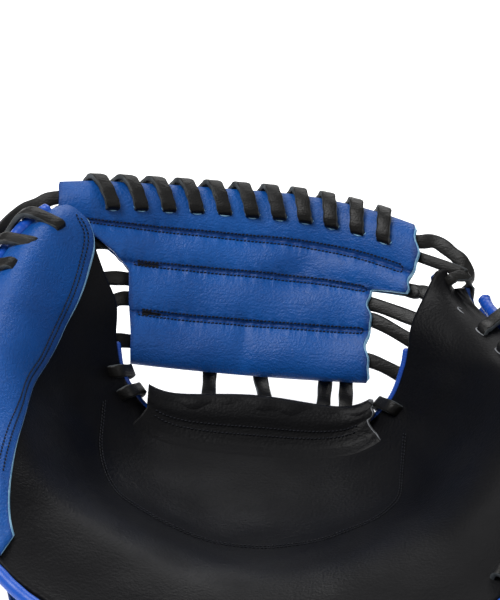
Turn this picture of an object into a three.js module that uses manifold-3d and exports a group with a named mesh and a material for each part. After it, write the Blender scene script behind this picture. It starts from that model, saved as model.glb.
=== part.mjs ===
// A catcher's mitt for the left hand, lying on its back with the pocket up.
// +X is towards the fingers, +Y towards the web, +Z up, in millimetres.
// The origin is the middle of the flat patch that the back shell rests on.
import * as THREE from 'three';
import { mergeVertices } from 'three/addons/utils/BufferGeometryUtils.js';
import Module from 'manifold-3d';

const wasm = await Module();
wasm.setup();

// Overall sizes
const mittWidth = 260; // thumb edge to little-finger edge
const heelReach = 135; // resting point back to the heel edge
const tipReach = 94; // resting point forward to the thumb and finger tips
const rimHeight = 118; // thumb tip above the surface
const notchWidth = 150; // thumb tip to finger tip across the mouth of the crotch
const flatShare = 0.42; // how far out the flat of the back reaches, as a share of the rim

// Leather and padding
const edgePad = 4; // palm leather with its folded edge
const pocketPad = 9; // padding under the pocket
const rimPad = 24; // padding under the rim
const shellThickness = 2.7;
const panelThickness = 2;
const clearance = 0.35; // between two pieces that touch
const flangeWidth = 11; // flat edge that the rim lace goes through
const rimHoleInset = 7.5;

// Cords and laces
const laceWidth = 6.2;
const laceThickness = 2.6;
const holeClearance = 0.6;
const weltRadius = 2.9;
const notchCordRadius = 1.7;
const rimLacePitch = 18.5;
const bandLacePitch = 12.7;

// Web
const webHeight = 83.4;
const webWall = 2.2;
const webBow = 14;
const webDrop = { thumb: 4, fingers: 18 }; // how far the web's upper part falls towards each end
const webBase = { y: 60, z: 59.3 };
const webLean = 45; // degrees from flat

// Wrist opening and strap
const mouthWidth = 118;
const windowStart = 83 - heelReach;
const windowCorner = 26;
const strapWidth = 28;
const strapPlace = 43 - heelReach;
const strapLength = 164;
const strapThickness = 2.6;

// One row for each section across the mitt, from the thumb tip round the heel to the finger tip.
// The in columns are the edge at the crotch, the out columns the rim. x is a share of half the notch
// (in) or half the mitt (out), y of the reach on that side, and z of the rim height. wall and crest
// are the heights of the catching face a third and three quarters of the way out.
const sections = [
  { name: 'thumb end', inX: -1.085, inY: 0.957, inZ: 0.958,
    wall: 0.966, crest: 0.98, outX: -0.7, outY: 0.957, outZ: 0.983 },
  { name: 'thumb tip', inX: -1.03, inY: 0.894, inZ: 0.89,
    wall: 0.945, crest: 1.0, outX: -0.777, outY: 0.82, outZ: 0.985 },
  { name: 'thumb top', inX: -0.955, inY: 0.819, inZ: 0.797,
    wall: 0.865, crest: 0.99, outX: -0.862, outY: 0.6, outZ: 0.955 },
  { name: 'thumb middle', inX: -0.867, inY: 0.745, inZ: 0.695,
    wall: 0.79, crest: 0.95, outX: -0.954, outY: 0.23, outZ: 0.9 },
  { name: 'thumb low', inX: -0.847, inY: 0.638, inZ: 0.576,
    wall: 0.7, crest: 0.895, outX: -1.0, outY: -0.13, outZ: 0.84 },
  { name: 'thumb base', inX: -0.76, inY: 0.553, inZ: 0.44,
    wall: 0.51, crest: 0.765, outX: -0.938, outY: -0.43, outZ: 0.7 },
  { name: 'heel by thumb', inX: -0.507, inY: 0.484, inZ: 0.322,
    wall: 0.345, crest: 0.58, outX: -0.692, outY: -0.778, outZ: 0.53 },
  { name: 'heel', inX: 0, inY: 0.468, inZ: 0.305,
    wall: 0.271, crest: 0.458, outX: 0, outY: -1.0, outZ: 0.41 },
  { name: 'heel by fingers', inX: 0.507, inY: 0.484, inZ: 0.322,
    wall: 0.34, crest: 0.56, outX: 0.692, outY: -0.778, outZ: 0.51 },
  { name: 'finger base', inX: 0.76, inY: 0.553, inZ: 0.44,
    wall: 0.49, crest: 0.705, outX: 0.946, outY: -0.43, outZ: 0.65 },
  { name: 'finger low', inX: 0.847, inY: 0.638, inZ: 0.576,
    wall: 0.655, crest: 0.83, outX: 1.0, outY: -0.085, outZ: 0.785 },
  { name: 'finger middle', inX: 0.867, inY: 0.745, inZ: 0.7,
    wall: 0.745, crest: 0.79, outX: 0.93, outY: 0.25, outZ: 0.785 },
  { name: 'finger top', inX: 0.933, inY: 0.851, inZ: 0.78,
    wall: 0.785, crest: 0.775, outX: 0.8, outY: 0.62, outZ: 0.775 },
  { name: 'finger tip', inX: 1.0, inY: 0.936, inZ: 0.864,
    wall: 0.82, crest: 0.77, outX: 0.705, outY: 0.83, outZ: 0.765 },
  { name: 'finger end', inX: 1.05, inY: 0.99, inZ: 0.856,
    wall: 0.82, crest: 0.775, outX: 0.645, outY: 0.935, outZ: 0.765 },
];
const heelSection = 7;
const lastSection = sections.length - 1;

// How high the back shell climbs at the rim, by the angle from the heel round to the web, as a share of
// the rim height.
const backRise = [
  { angle: 0, rise: 0.05 },
  { angle: 30, rise: 0.1 },
  { angle: 60, rise: 0.42 },
  { angle: 90, rise: 0.58 },
  { angle: 120, rise: 0.66 },
  { angle: 150, rise: 0.68 },
  { angle: 180, rise: 0.6 },
];

// The web's outline and fullness by height, as shares of the web height, the notch width and the web's
// fullest half thickness.
const webFullness = 6.2;
const webRows = [
  { name: 'lower fold', height: 0, left: -0.38, right: 0.313, full: 0 },
  { name: 'loop 4 low', height: 0.06, left: -0.385, right: 0.31, full: 0.86 },
  { name: 'loop 4 high', height: 0.235, left: -0.39, right: 0.307, full: 0.78 },
  { name: 'seam 3', height: 0.275, left: -0.393, right: 0.307, full: 0.48 },
  { name: 'loop 3 low', height: 0.31, left: -0.395, right: 0.307, full: 0.82 },
  { name: 'loop 3 high', height: 0.5, left: -0.41, right: 0.304, full: 0.86 },
  { name: 'seam 2', height: 0.538, left: -0.43, right: 0.305, full: 0.48 },
  { name: 'loop 2 low', height: 0.585, left: -0.455, right: 0.41, full: 0.84 },
  { name: 'loop 2 high', height: 0.685, left: -0.54, right: 0.42, full: 0.84 },
  { name: 'seam 1', height: 0.731, left: -0.6, right: 0.425, full: 0.48 },
  { name: 'loop 1 low', height: 0.767, left: -0.625, right: 0.43, full: 0.8 },
  { name: 'loop 1 high', height: 0.97, left: -0.633, right: 0.427, full: 0.85 },
  { name: 'upper fold', height: 1, left: -0.63, right: 0.425, full: 0 },
];

// Colours
const royalBlue = new THREE.MeshStandardMaterial({ color: 0x1d55b5, roughness: 0.5, metalness: 0 });
const blackLeather = new THREE.MeshStandardMaterial({ color: 0x17181b, roughness: 0.55, metalness: 0 });
const laceBlack = new THREE.MeshStandardMaterial({ color: 0x26251f, roughness: 0.6, metalness: 0 });

// Small helpers
const xyz = (x, y, z) => new THREE.Vector3(x, y, z);
const mix = (a, b, t) => a + (b - a) * t;
const clamp01 = (t) => Math.min(1, Math.max(0, t));
const ease = (t) => clamp01(t) ** 2 * (3 - 2 * clamp01(t));
const along = (p, d, length) => p.clone().addScaledVector(d, length);
const range = (count) => Array.from({ length: count }, (_, i) => i);

// A smooth value of one column of a table, with i counting rows.
function smoothColumn(rows, key, i) {
  const at = (n) => rows[Math.min(rows.length - 1, Math.max(0, n))][key];
  const n = Math.min(rows.length - 2, Math.max(0, Math.floor(i)));
  const t = i - n;
  const [a, b, c, d] = [at(n - 1), at(n), at(n + 1), at(n + 2)];
  return b + 0.5 * t * (c - a + t * (2 * a - 5 * b + 4 * c - d + t * (3 * (b - c) + d - a)));
}

// A straight-line reading of a table whose key column rises.
function readTable(rows, key, at, column) {
  const n = Math.min(rows.length - 2, Math.max(0, rows.findIndex((row) => row[key] > at) - 1));
  const last = at >= rows[rows.length - 1][key] ? rows.length - 2 : n;
  const [low, high] = [rows[last], rows[last + 1]];
  return mix(low[column], high[column], clamp01((at - low[key]) / (high[key] - low[key])));
}

// The catching face
function station(k) {
  const reach = (share) => share * (share < 0 ? heelReach : tipReach);
  const read = (key) => smoothColumn(sections, key, k);
  return {
    inner: xyz((read('inX') * notchWidth) / 2, reach(read('inY')), read('inZ') * rimHeight),
    outer: xyz((read('outX') * mittWidth) / 2, reach(read('outY')), read('outZ') * rimHeight),
    wall: read('wall') * rimHeight,
    crest: read('crest') * rimHeight,
  };
}

// A smooth curve through the four heights of a section, which stand at these shares of its width.
const heightPlaces = [0, 0.33, 0.72, 1];
function faceHeight(s, v) {
  const heights = [s.inner.z, s.wall, s.crest, s.outer.z];
  const secants = range(3).map((i) => (heights[i + 1] - heights[i]) / (heightPlaces[i + 1] - heightPlaces[i]));
  const slopes = [secants[0], (secants[0] + secants[1]) / 2, (secants[1] + secants[2]) / 2, secants[2] * 0.7];
  const i = v < heightPlaces[1] ? 0 : v < heightPlaces[2] ? 1 : 2;
  const width = heightPlaces[i + 1] - heightPlaces[i];
  const t = (v - heightPlaces[i]) / width;
  const blend = t * t * (3 - 2 * t);
  const start = t * (1 - t) ** 2 * width * slopes[i];
  const end = t * t * (t - 1) * width * slopes[i + 1];
  return mix(heights[i], heights[i + 1], blend) + start + end;
}

function facePoint(k, v) {
  const s = station(k);
  return xyz(mix(s.inner.x, s.outer.x, v), mix(s.inner.y, s.outer.y, v), faceHeight(s, v));
}

// The width of a section measured square to the rim or to the notch edge, in plan.
function squareSpan(k, edge) {
  const s = station(k);
  const ahead = station(Math.min(lastSection, k + 0.02))[edge];
  const run = ahead.sub(station(Math.max(0, k - 0.02))[edge]).setZ(0).normalize();
  const width = s.outer.clone().sub(s.inner).setZ(0);
  return along(width, run, -width.dot(run)).length();
}
const rimV = (k, inset) => 1 - inset / squareSpan(k, 'outer');
const notchV = (k, inset) => inset / squareSpan(k, 'inner');

function normalOf(surface, k, v) {
  const step = 0.01;
  const [k0, k1] = [Math.max(0, k - step), Math.min(lastSection, k + step)];
  const [v0, v1] = [Math.max(0, v - step), Math.min(1, v + step)];
  const dk = surface(k1, v).sub(surface(k0, v));
  const dv = surface(k, v1).sub(surface(k, v0));
  const normal = dk.cross(dv).normalize();
  return normal.z < 0 ? normal.negate() : normal;
}

// The back of the mitt
function rimShare(x, y) {
  return Math.hypot(x / (mittWidth / 2), y / (y < 0 ? heelReach : tipReach * 1.2));
}

function backHeight(x, y) {
  const angle = (Math.atan2(Math.abs(x), -y) * 180) / Math.PI;
  const rise = readTable(backRise, 'angle', angle, 'rise') * rimHeight;
  return rise * clamp01((rimShare(x, y) - flatShare) / (1 - flatShare)) ** 1.7;
}

const edgeStack = edgePad + shellThickness + 2 * clearance - 0.1;
const swellWidth = 28; // over which the mitt grows from its edge to full thickness, at most
const swellShare = 0.38; // the same as a share of the section
const mouthSections = 0.75; // sections each side of the heel where the back stays open
const mouthFade = 0.65;

// Where the layers of the mitt lie under a point of the face.
function layersAt(k, v) {
  const fromNotch = v * squareSpan(k, 'inner');
  const fromRim = (1 - v) * squareSpan(k, 'outer');
  const span = Math.min(squareSpan(k, 'inner'), squareSpan(k, 'outer'));
  const face = facePoint(k, v);
  const lean = 1 - ease((Math.min(fromNotch, fromRim) - flangeWidth + 2) / 7);
  const down = xyz(0, 0, 1).lerp(normalOf(facePoint, k, v), lean).normalize().negate();
  const open = 1 - ease((Math.abs(k - heelSection) - mouthSections) / mouthFade);
  const swell = Math.min(swellShare * span, swellWidth);
  const rimSide = mix((fromRim - flangeWidth) / swell, 1, open);
  const grow = ease(Math.min((fromNotch - flangeWidth + 1) / swell, rimSide));
  const total = mix(edgeStack, face.z - backHeight(face.x, face.y), grow);
  const padGrow = ease((Math.min(fromNotch, fromRim) - flangeWidth) / (0.7 * swell));
  const fullPad = mix(pocketPad, rimPad, ease((rimShare(face.x, face.y) - 0.25) / 0.5));
  const shell = shellThickness / mix(1, 0.62, grow * ease((rimShare(face.x, face.y) - flatShare) / 0.35));
  const pad = Math.min(mix(edgePad, fullPad, padGrow), total - shell - 2 * clearance);
  return { face, down, total, pad, shell };
}

const padBackPoint = (k, v) => {
  const { face, down, pad } = layersAt(k, v);
  return along(face, down, pad);
};
const backPoint = (k, v) => {
  const { face, down, total } = layersAt(k, v);
  return along(face, down, total);
};
const shellInnerPoint = (k, v) => {
  const { face, down, total, shell } = layersAt(k, v);
  return along(face, down, total - shell);
};
const raisedFace = (height) => (k, v) => along(facePoint(k, v), normalOf(facePoint, k, v), height);

// Mesh builders
function closedMesh(positions, triangles) {
  const geometry = new THREE.BufferGeometry();
  const numbers = positions.flatMap((p) => [p.x, p.y, p.z]);
  geometry.setAttribute('position', new THREE.Float32BufferAttribute(numbers, 3));
  geometry.setIndex(triangles);
  const volume = triangles.reduce((sum, _, i) => {
    if (i % 3) return sum;
    const [a, b, c] = [0, 1, 2].map((j) => positions[triangles[i + j]]);
    return sum + a.dot(b.clone().cross(c));
  }, 0);
  if (volume < 0) geometry.setIndex(triangles.map((_, i) => triangles[i - (i % 3) + [0, 2, 1][i % 3]]));
  return geometry;
}

// A slab between two surfaces over the same table of (k, v) columns.
function slab(columns, top, bottom) {
  const nV = columns[0].length;
  const nU = columns.length;
  const places = columns.flat();
  const positions = [top, bottom].flatMap((surface) => places.map(([k, v]) => surface(k, v)));
  const id = (layer, i, j) => layer * nU * nV + i * nV + j;
  const triangles = [];
  const quad = (a, b, c, d) => triangles.push(a, b, c, a, c, d);
  for (const i of range(nU - 1)) {
    for (const j of range(nV - 1)) {
      quad(id(0, i, j), id(0, i + 1, j), id(0, i + 1, j + 1), id(0, i, j + 1));
      quad(id(1, i, j), id(1, i, j + 1), id(1, i + 1, j + 1), id(1, i + 1, j));
    }
    quad(id(0, i, 0), id(1, i, 0), id(1, i + 1, 0), id(0, i + 1, 0));
    quad(id(0, i, nV - 1), id(0, i + 1, nV - 1), id(1, i + 1, nV - 1), id(1, i, nV - 1));
  }
  for (const j of range(nV - 1)) {
    quad(id(0, 0, j), id(0, 0, j + 1), id(1, 0, j + 1), id(1, 0, j));
    quad(id(0, nU - 1, j), id(1, nU - 1, j), id(1, nU - 1, j + 1), id(0, nU - 1, j + 1));
  }
  return closedMesh(positions, triangles);
}

// A ring of leather: rings[i] is a loop of outer points and a loop of inner points at one place along it.
function sleeve(rings) {
  const n = rings[0].outer.length;
  const positions = rings.flatMap((ring) => [...ring.outer, ...ring.inner]);
  const id = (i, layer, j) => i * 2 * n + layer * n + (j % n);
  const triangles = [];
  const quad = (a, b, c, d) => triangles.push(a, b, c, a, c, d);
  const last = rings.length - 1;
  for (const j of range(n)) {
    for (const i of range(last)) {
      quad(id(i, 0, j), id(i + 1, 0, j), id(i + 1, 0, j + 1), id(i, 0, j + 1));
      quad(id(i, 1, j), id(i, 1, j + 1), id(i + 1, 1, j + 1), id(i + 1, 1, j));
    }
    quad(id(0, 0, j), id(0, 0, j + 1), id(0, 1, j + 1), id(0, 1, j));
    quad(id(last, 0, j), id(last, 1, j), id(last, 1, j + 1), id(last, 0, j + 1));
  }
  return closedMesh(positions, triangles);
}

// A strand swept along anchors {p, across}: across is the direction of its width, and the profile is a loop
// of shares of the width and thickness.
function strand(anchors, profile, width, thickness) {
  const n = profile.length;
  const last = anchors.length - 1;
  const positions = anchors.flatMap(({ p, across }, i) => {
    const before = p.clone().sub(anchors[Math.max(0, i - 1)].p).normalize();
    const after = anchors[Math.min(last, i + 1)].p.clone().sub(p).normalize();
    const tangent = before.clone().add(after).normalize();
    const side = across.clone().addScaledVector(tangent, -across.dot(tangent)).normalize();
    const flat = tangent.clone().cross(side);
    const bend = i === 0 || i === last ? 1 : Math.min(1.5, 1 / Math.max(0.2, tangent.dot(after)));
    return profile.map(([a, b]) => along(along(p, side, a * width), flat, b * thickness * bend));
  });
  const triangles = [];
  for (const j of range(n)) {
    const next = (j + 1) % n;
    for (const i of range(last)) {
      const [a, b, c, d] = [n * i + j, n * i + next, n * (i + 1) + next, n * (i + 1) + j];
      triangles.push(a, b, c, a, c, d);
    }
    if (j > 0 && j < n - 1) triangles.push(0, next, j, n * last, n * last + j, n * last + next);
  }
  return closedMesh(positions, triangles);
}

const flatProfile = [[0.5, 0.5], [-0.5, 0.5], [-0.5, -0.5], [0.5, -0.5]];
const roundProfile = (sides) => range(sides).map((i) => {
  const angle = (2 * Math.PI * (i + 0.5)) / sides;
  return [Math.cos(angle), Math.sin(angle)];
});
const lace = (anchors, width = laceWidth, extra = 0) =>
  strand(anchors, flatProfile, width + 2 * extra, laceThickness + 2 * extra);

// Cutting with manifold-3d
function solidOf(geometry) {
  const bare = new THREE.BufferGeometry();
  bare.setAttribute('position', geometry.getAttribute('position'));
  if (geometry.index) bare.setIndex(geometry.index);
  const merged = mergeVertices(bare, 1e-3);
  return new wasm.Manifold(new wasm.Mesh({
    numProp: 3,
    vertProperties: merged.attributes.position.array,
    triVerts: new Uint32Array(merged.index.array),
  }));
}

function geometryOf(solid) {
  const mesh = solid.getMesh();
  const geometry = new THREE.BufferGeometry();
  geometry.setAttribute('position', new THREE.BufferAttribute(new Float32Array(mesh.vertProperties), 3));
  geometry.setIndex(new THREE.BufferAttribute(new Uint32Array(mesh.triVerts), 1));
  return geometry;
}

// Cuts the holes, and presses the leather back a little wherever one of the laces would run into it.
const cutTolerance = 0.15;
const touchLimit = 0.008; // cubic millimetres
const pressDepth = 0.05;
function cut(geometry, cutters, pressing = []) {
  const bored = cutters.reduce((left, cutter) => left.subtract(solidOf(cutter)), solidOf(geometry));
  const slim = largestBody(bored).simplify(cutTolerance);
  const pressed = pressing.reduce((left, { anchors, width }) => {
    const touching = left.intersect(solidOf(lace(anchors, width))).volume() > touchLimit;
    return touching ? left.subtract(solidOf(lace(anchors, width, pressDepth))) : left;
  }, slim);
  return geometryOf(largestBody(pressed));
}
const largestBody = (solid) => solid.decompose().sort((a, b) => b.volume() - a.volume())[0];

// The hole for a lace that passes straight from one anchor to another.
const holeFor = ([from, to], width) => {
  const way = to.p.clone().sub(from.p).normalize();
  const ends = [{ ...from, p: along(from.p, way, -0.3) }, { ...to, p: along(to.p, way, 0.3) }];
  return lace(ends, width, holeClearance);
};

// Frames along the rim and the notch edge, at the middle of the edge stack
function edgeFrame(k, v) {
  const step = 0.02;
  const here = facePoint(k, v);
  const inward = facePoint(k, v === 1 ? rimV(k, flangeWidth) : notchV(k, flangeWidth));
  const ahead = facePoint(Math.min(lastSection, k + step), v);
  const tangent = ahead.sub(facePoint(Math.max(0, k - step), v)).normalize();
  const out = here.clone().sub(inward);
  out.addScaledVector(tangent, -out.dot(tangent)).normalize();
  const up = out.clone().cross(tangent);
  if (up.z < 0) up.negate();
  const middle = along(here, layersAt(k, v).down, edgePad + clearance);
  const lead = Math.max(0, here.sub(middle).dot(out), backPoint(k, v).sub(middle).dot(out));
  return { origin: along(middle, out, lead), tangent, out, up };
}

const inFrame = (frame, out, up, shift = 0) =>
  along(along(along(frame.origin, frame.out, out), frame.up, up), frame.tangent, shift);

// Section numbers spaced evenly along an edge
function evenSections(from, to, pitch, v) {
  const fine = range(401).map((i) => mix(from, to, i / 400));
  const lengths = [0];
  const stepLength = (i) => facePoint(fine[i + 1], v).distanceTo(facePoint(fine[i], v));
  fine.slice(1).forEach((_, i) => lengths.push(lengths[i] + stepLength(i)));
  const count = Math.max(2, Math.round(lengths[400] / pitch) + 1);
  return range(count).map((i) => {
    const want = (lengths[400] * i) / (count - 1);
    return fine[Math.max(0, lengths.findIndex((length) => length >= want - 1e-9))];
  });
}

// A lace wound round an edge: turn is its loop in the frame, as out, up and the share of the pitch gained.
// It starts behind the first hole and ends inside the last one.
function woundLace(frames, turn) {
  const anchors = [];
  const holes = [];
  frames.forEach((frame, i) => {
    const next = frames[i + 1];
    const at = ({ out, up }) => ({ p: inFrame(frame, out, up), across: frame.tangent });
    const back = at(turn[turn.length - 1]);
    const through = next ? at(turn[0]) : at({ ...turn[0], up: turn[turn.length - 1].up + laceWidth });
    anchors.push(back, through);
    holes.push([back, through]);
    if (!next) return;
    turn.slice(1, -1).forEach(({ out, up, gain }) => {
      const p = inFrame(frame, out, up).lerp(inFrame(next, out, up), gain);
      anchors.push({ p, across: frame.tangent.clone().lerp(next.tangent, gain) });
    });
  });
  return { anchors, holes };
}

// The turns of the rim lace, and a grid whose columns lie between them
const thumbRim = { from: 0.85, to: 5.55, rise: panelThickness + 1.8 };
const fingerRim = { from: 8.45, to: 12.9, rise: 0.5 };
const thumbTurns = evenSections(thumbRim.from, thumbRim.to, rimLacePitch, 1);
const fingerTurns = evenSections(fingerRim.from, fingerRim.to, rimLacePitch, 1);
const between = (places) => places.slice(1).map((k, i) => (k + places[i]) / 2);
const gridSections = [
  0, 0.45, ...between(thumbTurns),
  5.75, 6.05, 6.4, 6.8, 7.2, 7.6, 7.95, 8.25,
  ...between(fingerTurns), 12.9, 13.45, 14,
];
const rowInsets = { notch: [11.5, 21], rim: [12.5, 22] };
const wholeGrid = gridSections.map((k) => {
  const low = rowInsets.notch.map((inset, i) => Math.min(notchV(k, inset), [0.27, 0.4][i]));
  const high = rowInsets.rim.map((inset, i) => Math.max(rimV(k, inset), [0.73, 0.6][i]));
  const middle = [0.13, 0.42, 0.72].map((t) => mix(low[1], high[1], t));
  return [0, ...low, ...middle, high[1], high[0], 1].map((v) => [k, v]);
});

// The rim: two welts, with the lace that ties palm and back over them
const weltOut = weltRadius + 0.7;
const weltUp = weltRadius + 0.15;
const laceReach = laceThickness / 2 + clearance;
const round = weltRadius + laceReach + 0.75; // radius of the lace's path round a welt
const corner = 0.42 * round;
const weltLoop = (faceRise) => {
  const faceLevel = edgePad + clearance + faceRise + laceReach + 0.5;
  return [
    { out: -rimHoleInset, up: faceLevel, gain: 0 },
    { out: weltOut + corner, up: Math.max(weltUp + round, faceLevel), gain: 0.25 },
    { out: weltOut + round, up: weltUp + corner, gain: 0.4 },
    { out: weltOut + round, up: -weltUp - corner, gain: 0.6 },
    { out: weltOut + corner, up: -weltUp - round, gain: 0.75 },
    { out: -rimHoleInset, up: -shellThickness - clearance - laceReach - 1.3, gain: 1 },
  ];
};
const rimFrames = (turns) => turns.map((k) => edgeFrame(k, 1));
const thumbLacing = woundLace(rimFrames(thumbTurns), weltLoop(thumbRim.rise));
const fingerLacing = woundLace(rimFrames(fingerTurns), weltLoop(fingerRim.rise));

const edgeCord = ({ from, to, edge, out, up, radius, sides }) => {
  const places = [from, ...gridSections.filter((k) => k > from + 0.1 && k < to - 0.1), to];
  const anchors = places.map((k) => {
    const frame = edgeFrame(k, edge);
    return { p: inFrame(frame, out, up), across: frame.out };
  });
  return strand(anchors, roundProfile(sides), radius, radius);
};
const rimCords = [
  { name: 'palm_welt', from: 0.55, to: 13.4, up: weltUp },
  { name: 'back_welt_thumb', from: 0.55, to: 5.7, up: -weltUp },
  { name: 'back_welt_fingers', from: 8.3, to: 13.4, up: -weltUp },
].map((row) => ({ ...row, edge: 1, out: weltOut, radius: weltRadius, sides: 6 }));

// The web
const webUp = xyz(0, Math.cos((webLean * Math.PI) / 180), Math.sin((webLean * Math.PI) / 180));
const webOut = xyz(0, -webUp.z, webUp.y); // towards the pocket
const webHalf = notchWidth * 0.533;
function webPoint(x, height, offset) {
  const side = x / webHalf;
  const share = height / webHeight;
  const thumbFall = webDrop.thumb * ease((share - 0.7) / 0.3);
  const fingerFall = webDrop.fingers * ease((share - 0.27) / 0.46);
  const fall = side ** 2 * (x < 0 ? thumbFall : fingerFall);
  const bow = webBow * Math.max(0, 1 - side ** 2);
  const base = xyz(x, webBase.y, webBase.z);
  return along(along(base, webUp, height - fall), webOut, offset - bow);
}

const webEnds = (height) => ({
  left: readTable(webRows, 'height', height / webHeight, 'left') * notchWidth,
  right: readTable(webRows, 'height', height / webHeight, 'right') * notchWidth,
});

function webRing(t) {
  const points = (inset) => {
    const place = (row, sign) => {
      const height = mix(inset, webHeight - inset, row.height);
      const half = Math.max(row.full * webFullness - inset, row.full ? clearance : 0);
      const x = mix(row.left, row.right, t) * notchWidth;
      return webPoint(x, height, sign * half);
    };
    const front = webRows.map((row) => place(row, 1));
    const back = webRows.slice(1, -1).reverse().map((row) => place(row, -1));
    return [...front, ...back];
  };
  return { outer: points(0), inner: points(webWall) };
}
const webColumns = 6;
const webSleeve = sleeve(range(webColumns + 1).map((i) => webRing(i / webColumns)));

// The lace over the web's top edge
const bandHoleInset = 12.3;
const bandLoop = [
  { out: -bandHoleInset, up: webFullness * 0.94 + laceReach + 0.8, gain: 0 },
  { out: -5, up: webFullness + laceReach + 0.3, gain: 0.2 },
  { out: 0.6, up: webFullness * 0.9, gain: 0.4 },
  { out: 0.6 + laceReach, up: 0, gain: 0.5 },
  { out: 0.6, up: -webFullness * 0.9, gain: 0.6 },
  { out: -5, up: -webFullness - laceReach - 0.3, gain: 0.8 },
  { out: -bandHoleInset, up: -webFullness * 0.94 - laceReach - 0.8, gain: 1 },
];
function bandFrame(x) {
  const origin = webPoint(x, webHeight, 0);
  const tangent = webPoint(x + 1, webHeight, 0).sub(webPoint(x - 1, webHeight, 0)).normalize();
  const out = webUp.clone().addScaledVector(tangent, -webUp.dot(tangent)).normalize();
  const up = out.clone().cross(tangent);
  if (up.dot(webOut) < 0) up.negate();
  return { origin, tangent, out, up };
}
const bandEnds = { left: webEnds(webHeight * 0.9).left + 9, right: webEnds(webHeight * 0.9).right - 9 };
const bandTurns = Math.round((bandEnds.right - bandEnds.left) / bandLacePitch);
const bandLacing = woundLace(
  range(bandTurns + 1).map((i) => bandFrame(mix(bandEnds.right, bandEnds.left, i / bandTurns))),
  bandLoop,
);

// Anchors for the laces that cross from the web to the thumb and fingers
const notchTangent = (k) => {
  const tangent = edgeFrame(k, 0).tangent;
  return tangent.z < 0 ? tangent.negate() : tangent;
};
const webAnchor = (x, height, offset = 0) => ({ p: webPoint(x, height, offset), across: webUp });

// A crossing lace ends tucked behind the leathers of the notch edge.
const notchHoleInset = 7;
const faceLevel = edgePad + clearance + laceReach + 0.45;
const backLevel = -shellThickness - clearance - laceReach - 0.6;
function crossEnd(k) {
  const frame = edgeFrame(k, 0);
  const at = (out, up) => ({ p: inFrame(frame, out, up), across: notchTangent(k) });
  return [at(2 * notchCordRadius + 2, backLevel - 0.8), at(-notchHoleInset + 2, backLevel)];
}

// One row for each crossing lace: its height in the web and the sections it ties to.
const crossings = [
  { name: 'web_lace_2', height: 0.625, thumb: 1.5, fingers: 12.3 },
  { name: 'web_lace_3', height: 0.45, thumb: 2.2, fingers: 11.4 },
  { name: 'web_lace_4', height: 0.345, thumb: 2.95, fingers: 10.6 },
  { name: 'web_lace_5', height: 0.12, thumb: 3.9, fingers: 9.65 },
];
function crossingLace({ height, thumb, fingers }) {
  const rise = height * webHeight;
  const ends = webEnds(rise);
  const inWeb = range(9).map((i) => webAnchor(mix(ends.left - 2.5, ends.right + 2.5, i / 8), rise));
  return [...crossEnd(thumb).reverse(), ...inWeb, ...crossEnd(fingers)];
}

// The top lace runs through the upper loop and curls round both tips.
const tipRoute = [
  { name: 'behind thumb rim', x: -0.87, y: 0.64, z: 0.74 },
  { name: 'under thumb welts', x: -0.9, y: 0.76, z: 0.78 },
  { name: 'outside thumb welts', x: -0.925, y: 0.94, z: 0.82 },
  { name: 'past thumb tip', x: -0.87, y: 1.08, z: 0.87 },
  { name: 'leaving web', x: -0.8, y: 1.14, z: 0.9 },
  { name: 'through the upper loop' },
  { name: 'leaving web', x: 0.56, y: 1.16, z: 0.865 },
  { name: 'past finger tip', x: 0.62, y: 1.105, z: 0.85 },
  { name: 'turning down', x: 0.665, y: 1.05, z: 0.83 },
  { name: 'outside finger welts', x: 0.685, y: 1, z: 0.775 },
  { name: 'behind finger rim', x: 0.67, y: 0.9, z: 0.69 },
];
const tipTieWidth = 4.8;
const upperLoopInset = 7.2;
const upperEnds = { left: webEnds(webHeight * 0.9).left - 1, right: webEnds(webHeight * 0.9).right + 1 };
const topLace = tipRoute.flatMap(({ x, y, z }) => {
  if (x !== undefined) return [{ p: xyz((x * mittWidth) / 2, y * tipReach, z * rimHeight), across: webUp }];
  return range(9).map((i) => {
    const frame = bandFrame(mix(upperEnds.left, upperEnds.right, i / 8));
    return { p: inFrame(frame, -upperLoopInset, 0), across: frame.out };
  });
});

// A short lace ties each end of the upper loop to its tip.
const tipTies = [
  { name: 'tip_lace_thumb', start: 0.935, inset: 13.4, elbow: 7, section: 0.82, side: 'left', behind: true },
  { name: 'tip_lace_fingers', start: 0.93, inset: 13, elbow: 7, section: 13.62, side: 'right', behind: false },
];
function tipTie({ start, inset, elbow, section, side, behind }) {
  const end = upperEnds[side];
  const mouth = bandFrame(end);
  const inLoop = (frame) => ({ p: inFrame(frame, -inset, 0), across: frame.out });
  const leaving = [inLoop(bandFrame(end * start)), inLoop(mouth)];
  if (behind) {
    const across = mouth.tangent.clone().multiplyScalar(Math.sign(end)).add(mouth.out);
    leaving.push({ p: inFrame(mouth, -inset - elbow, 0, Math.sign(end) * 4), across });
    return { anchors: [...leaving, ...crossEnd(section)], holes: [] };
  }
  const tip = edgeFrame(section, 0);
  const at = (up, shift) => ({ p: inFrame(tip, -notchHoleInset, up, shift), across: tip.out });
  const hole = [at(faceLevel, 0), at(backLevel + 1, 0)];
  return { anchors: [...leaving, at(faceLevel + 1.5, elbow), ...hole], holes: [hole] };
}

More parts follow.
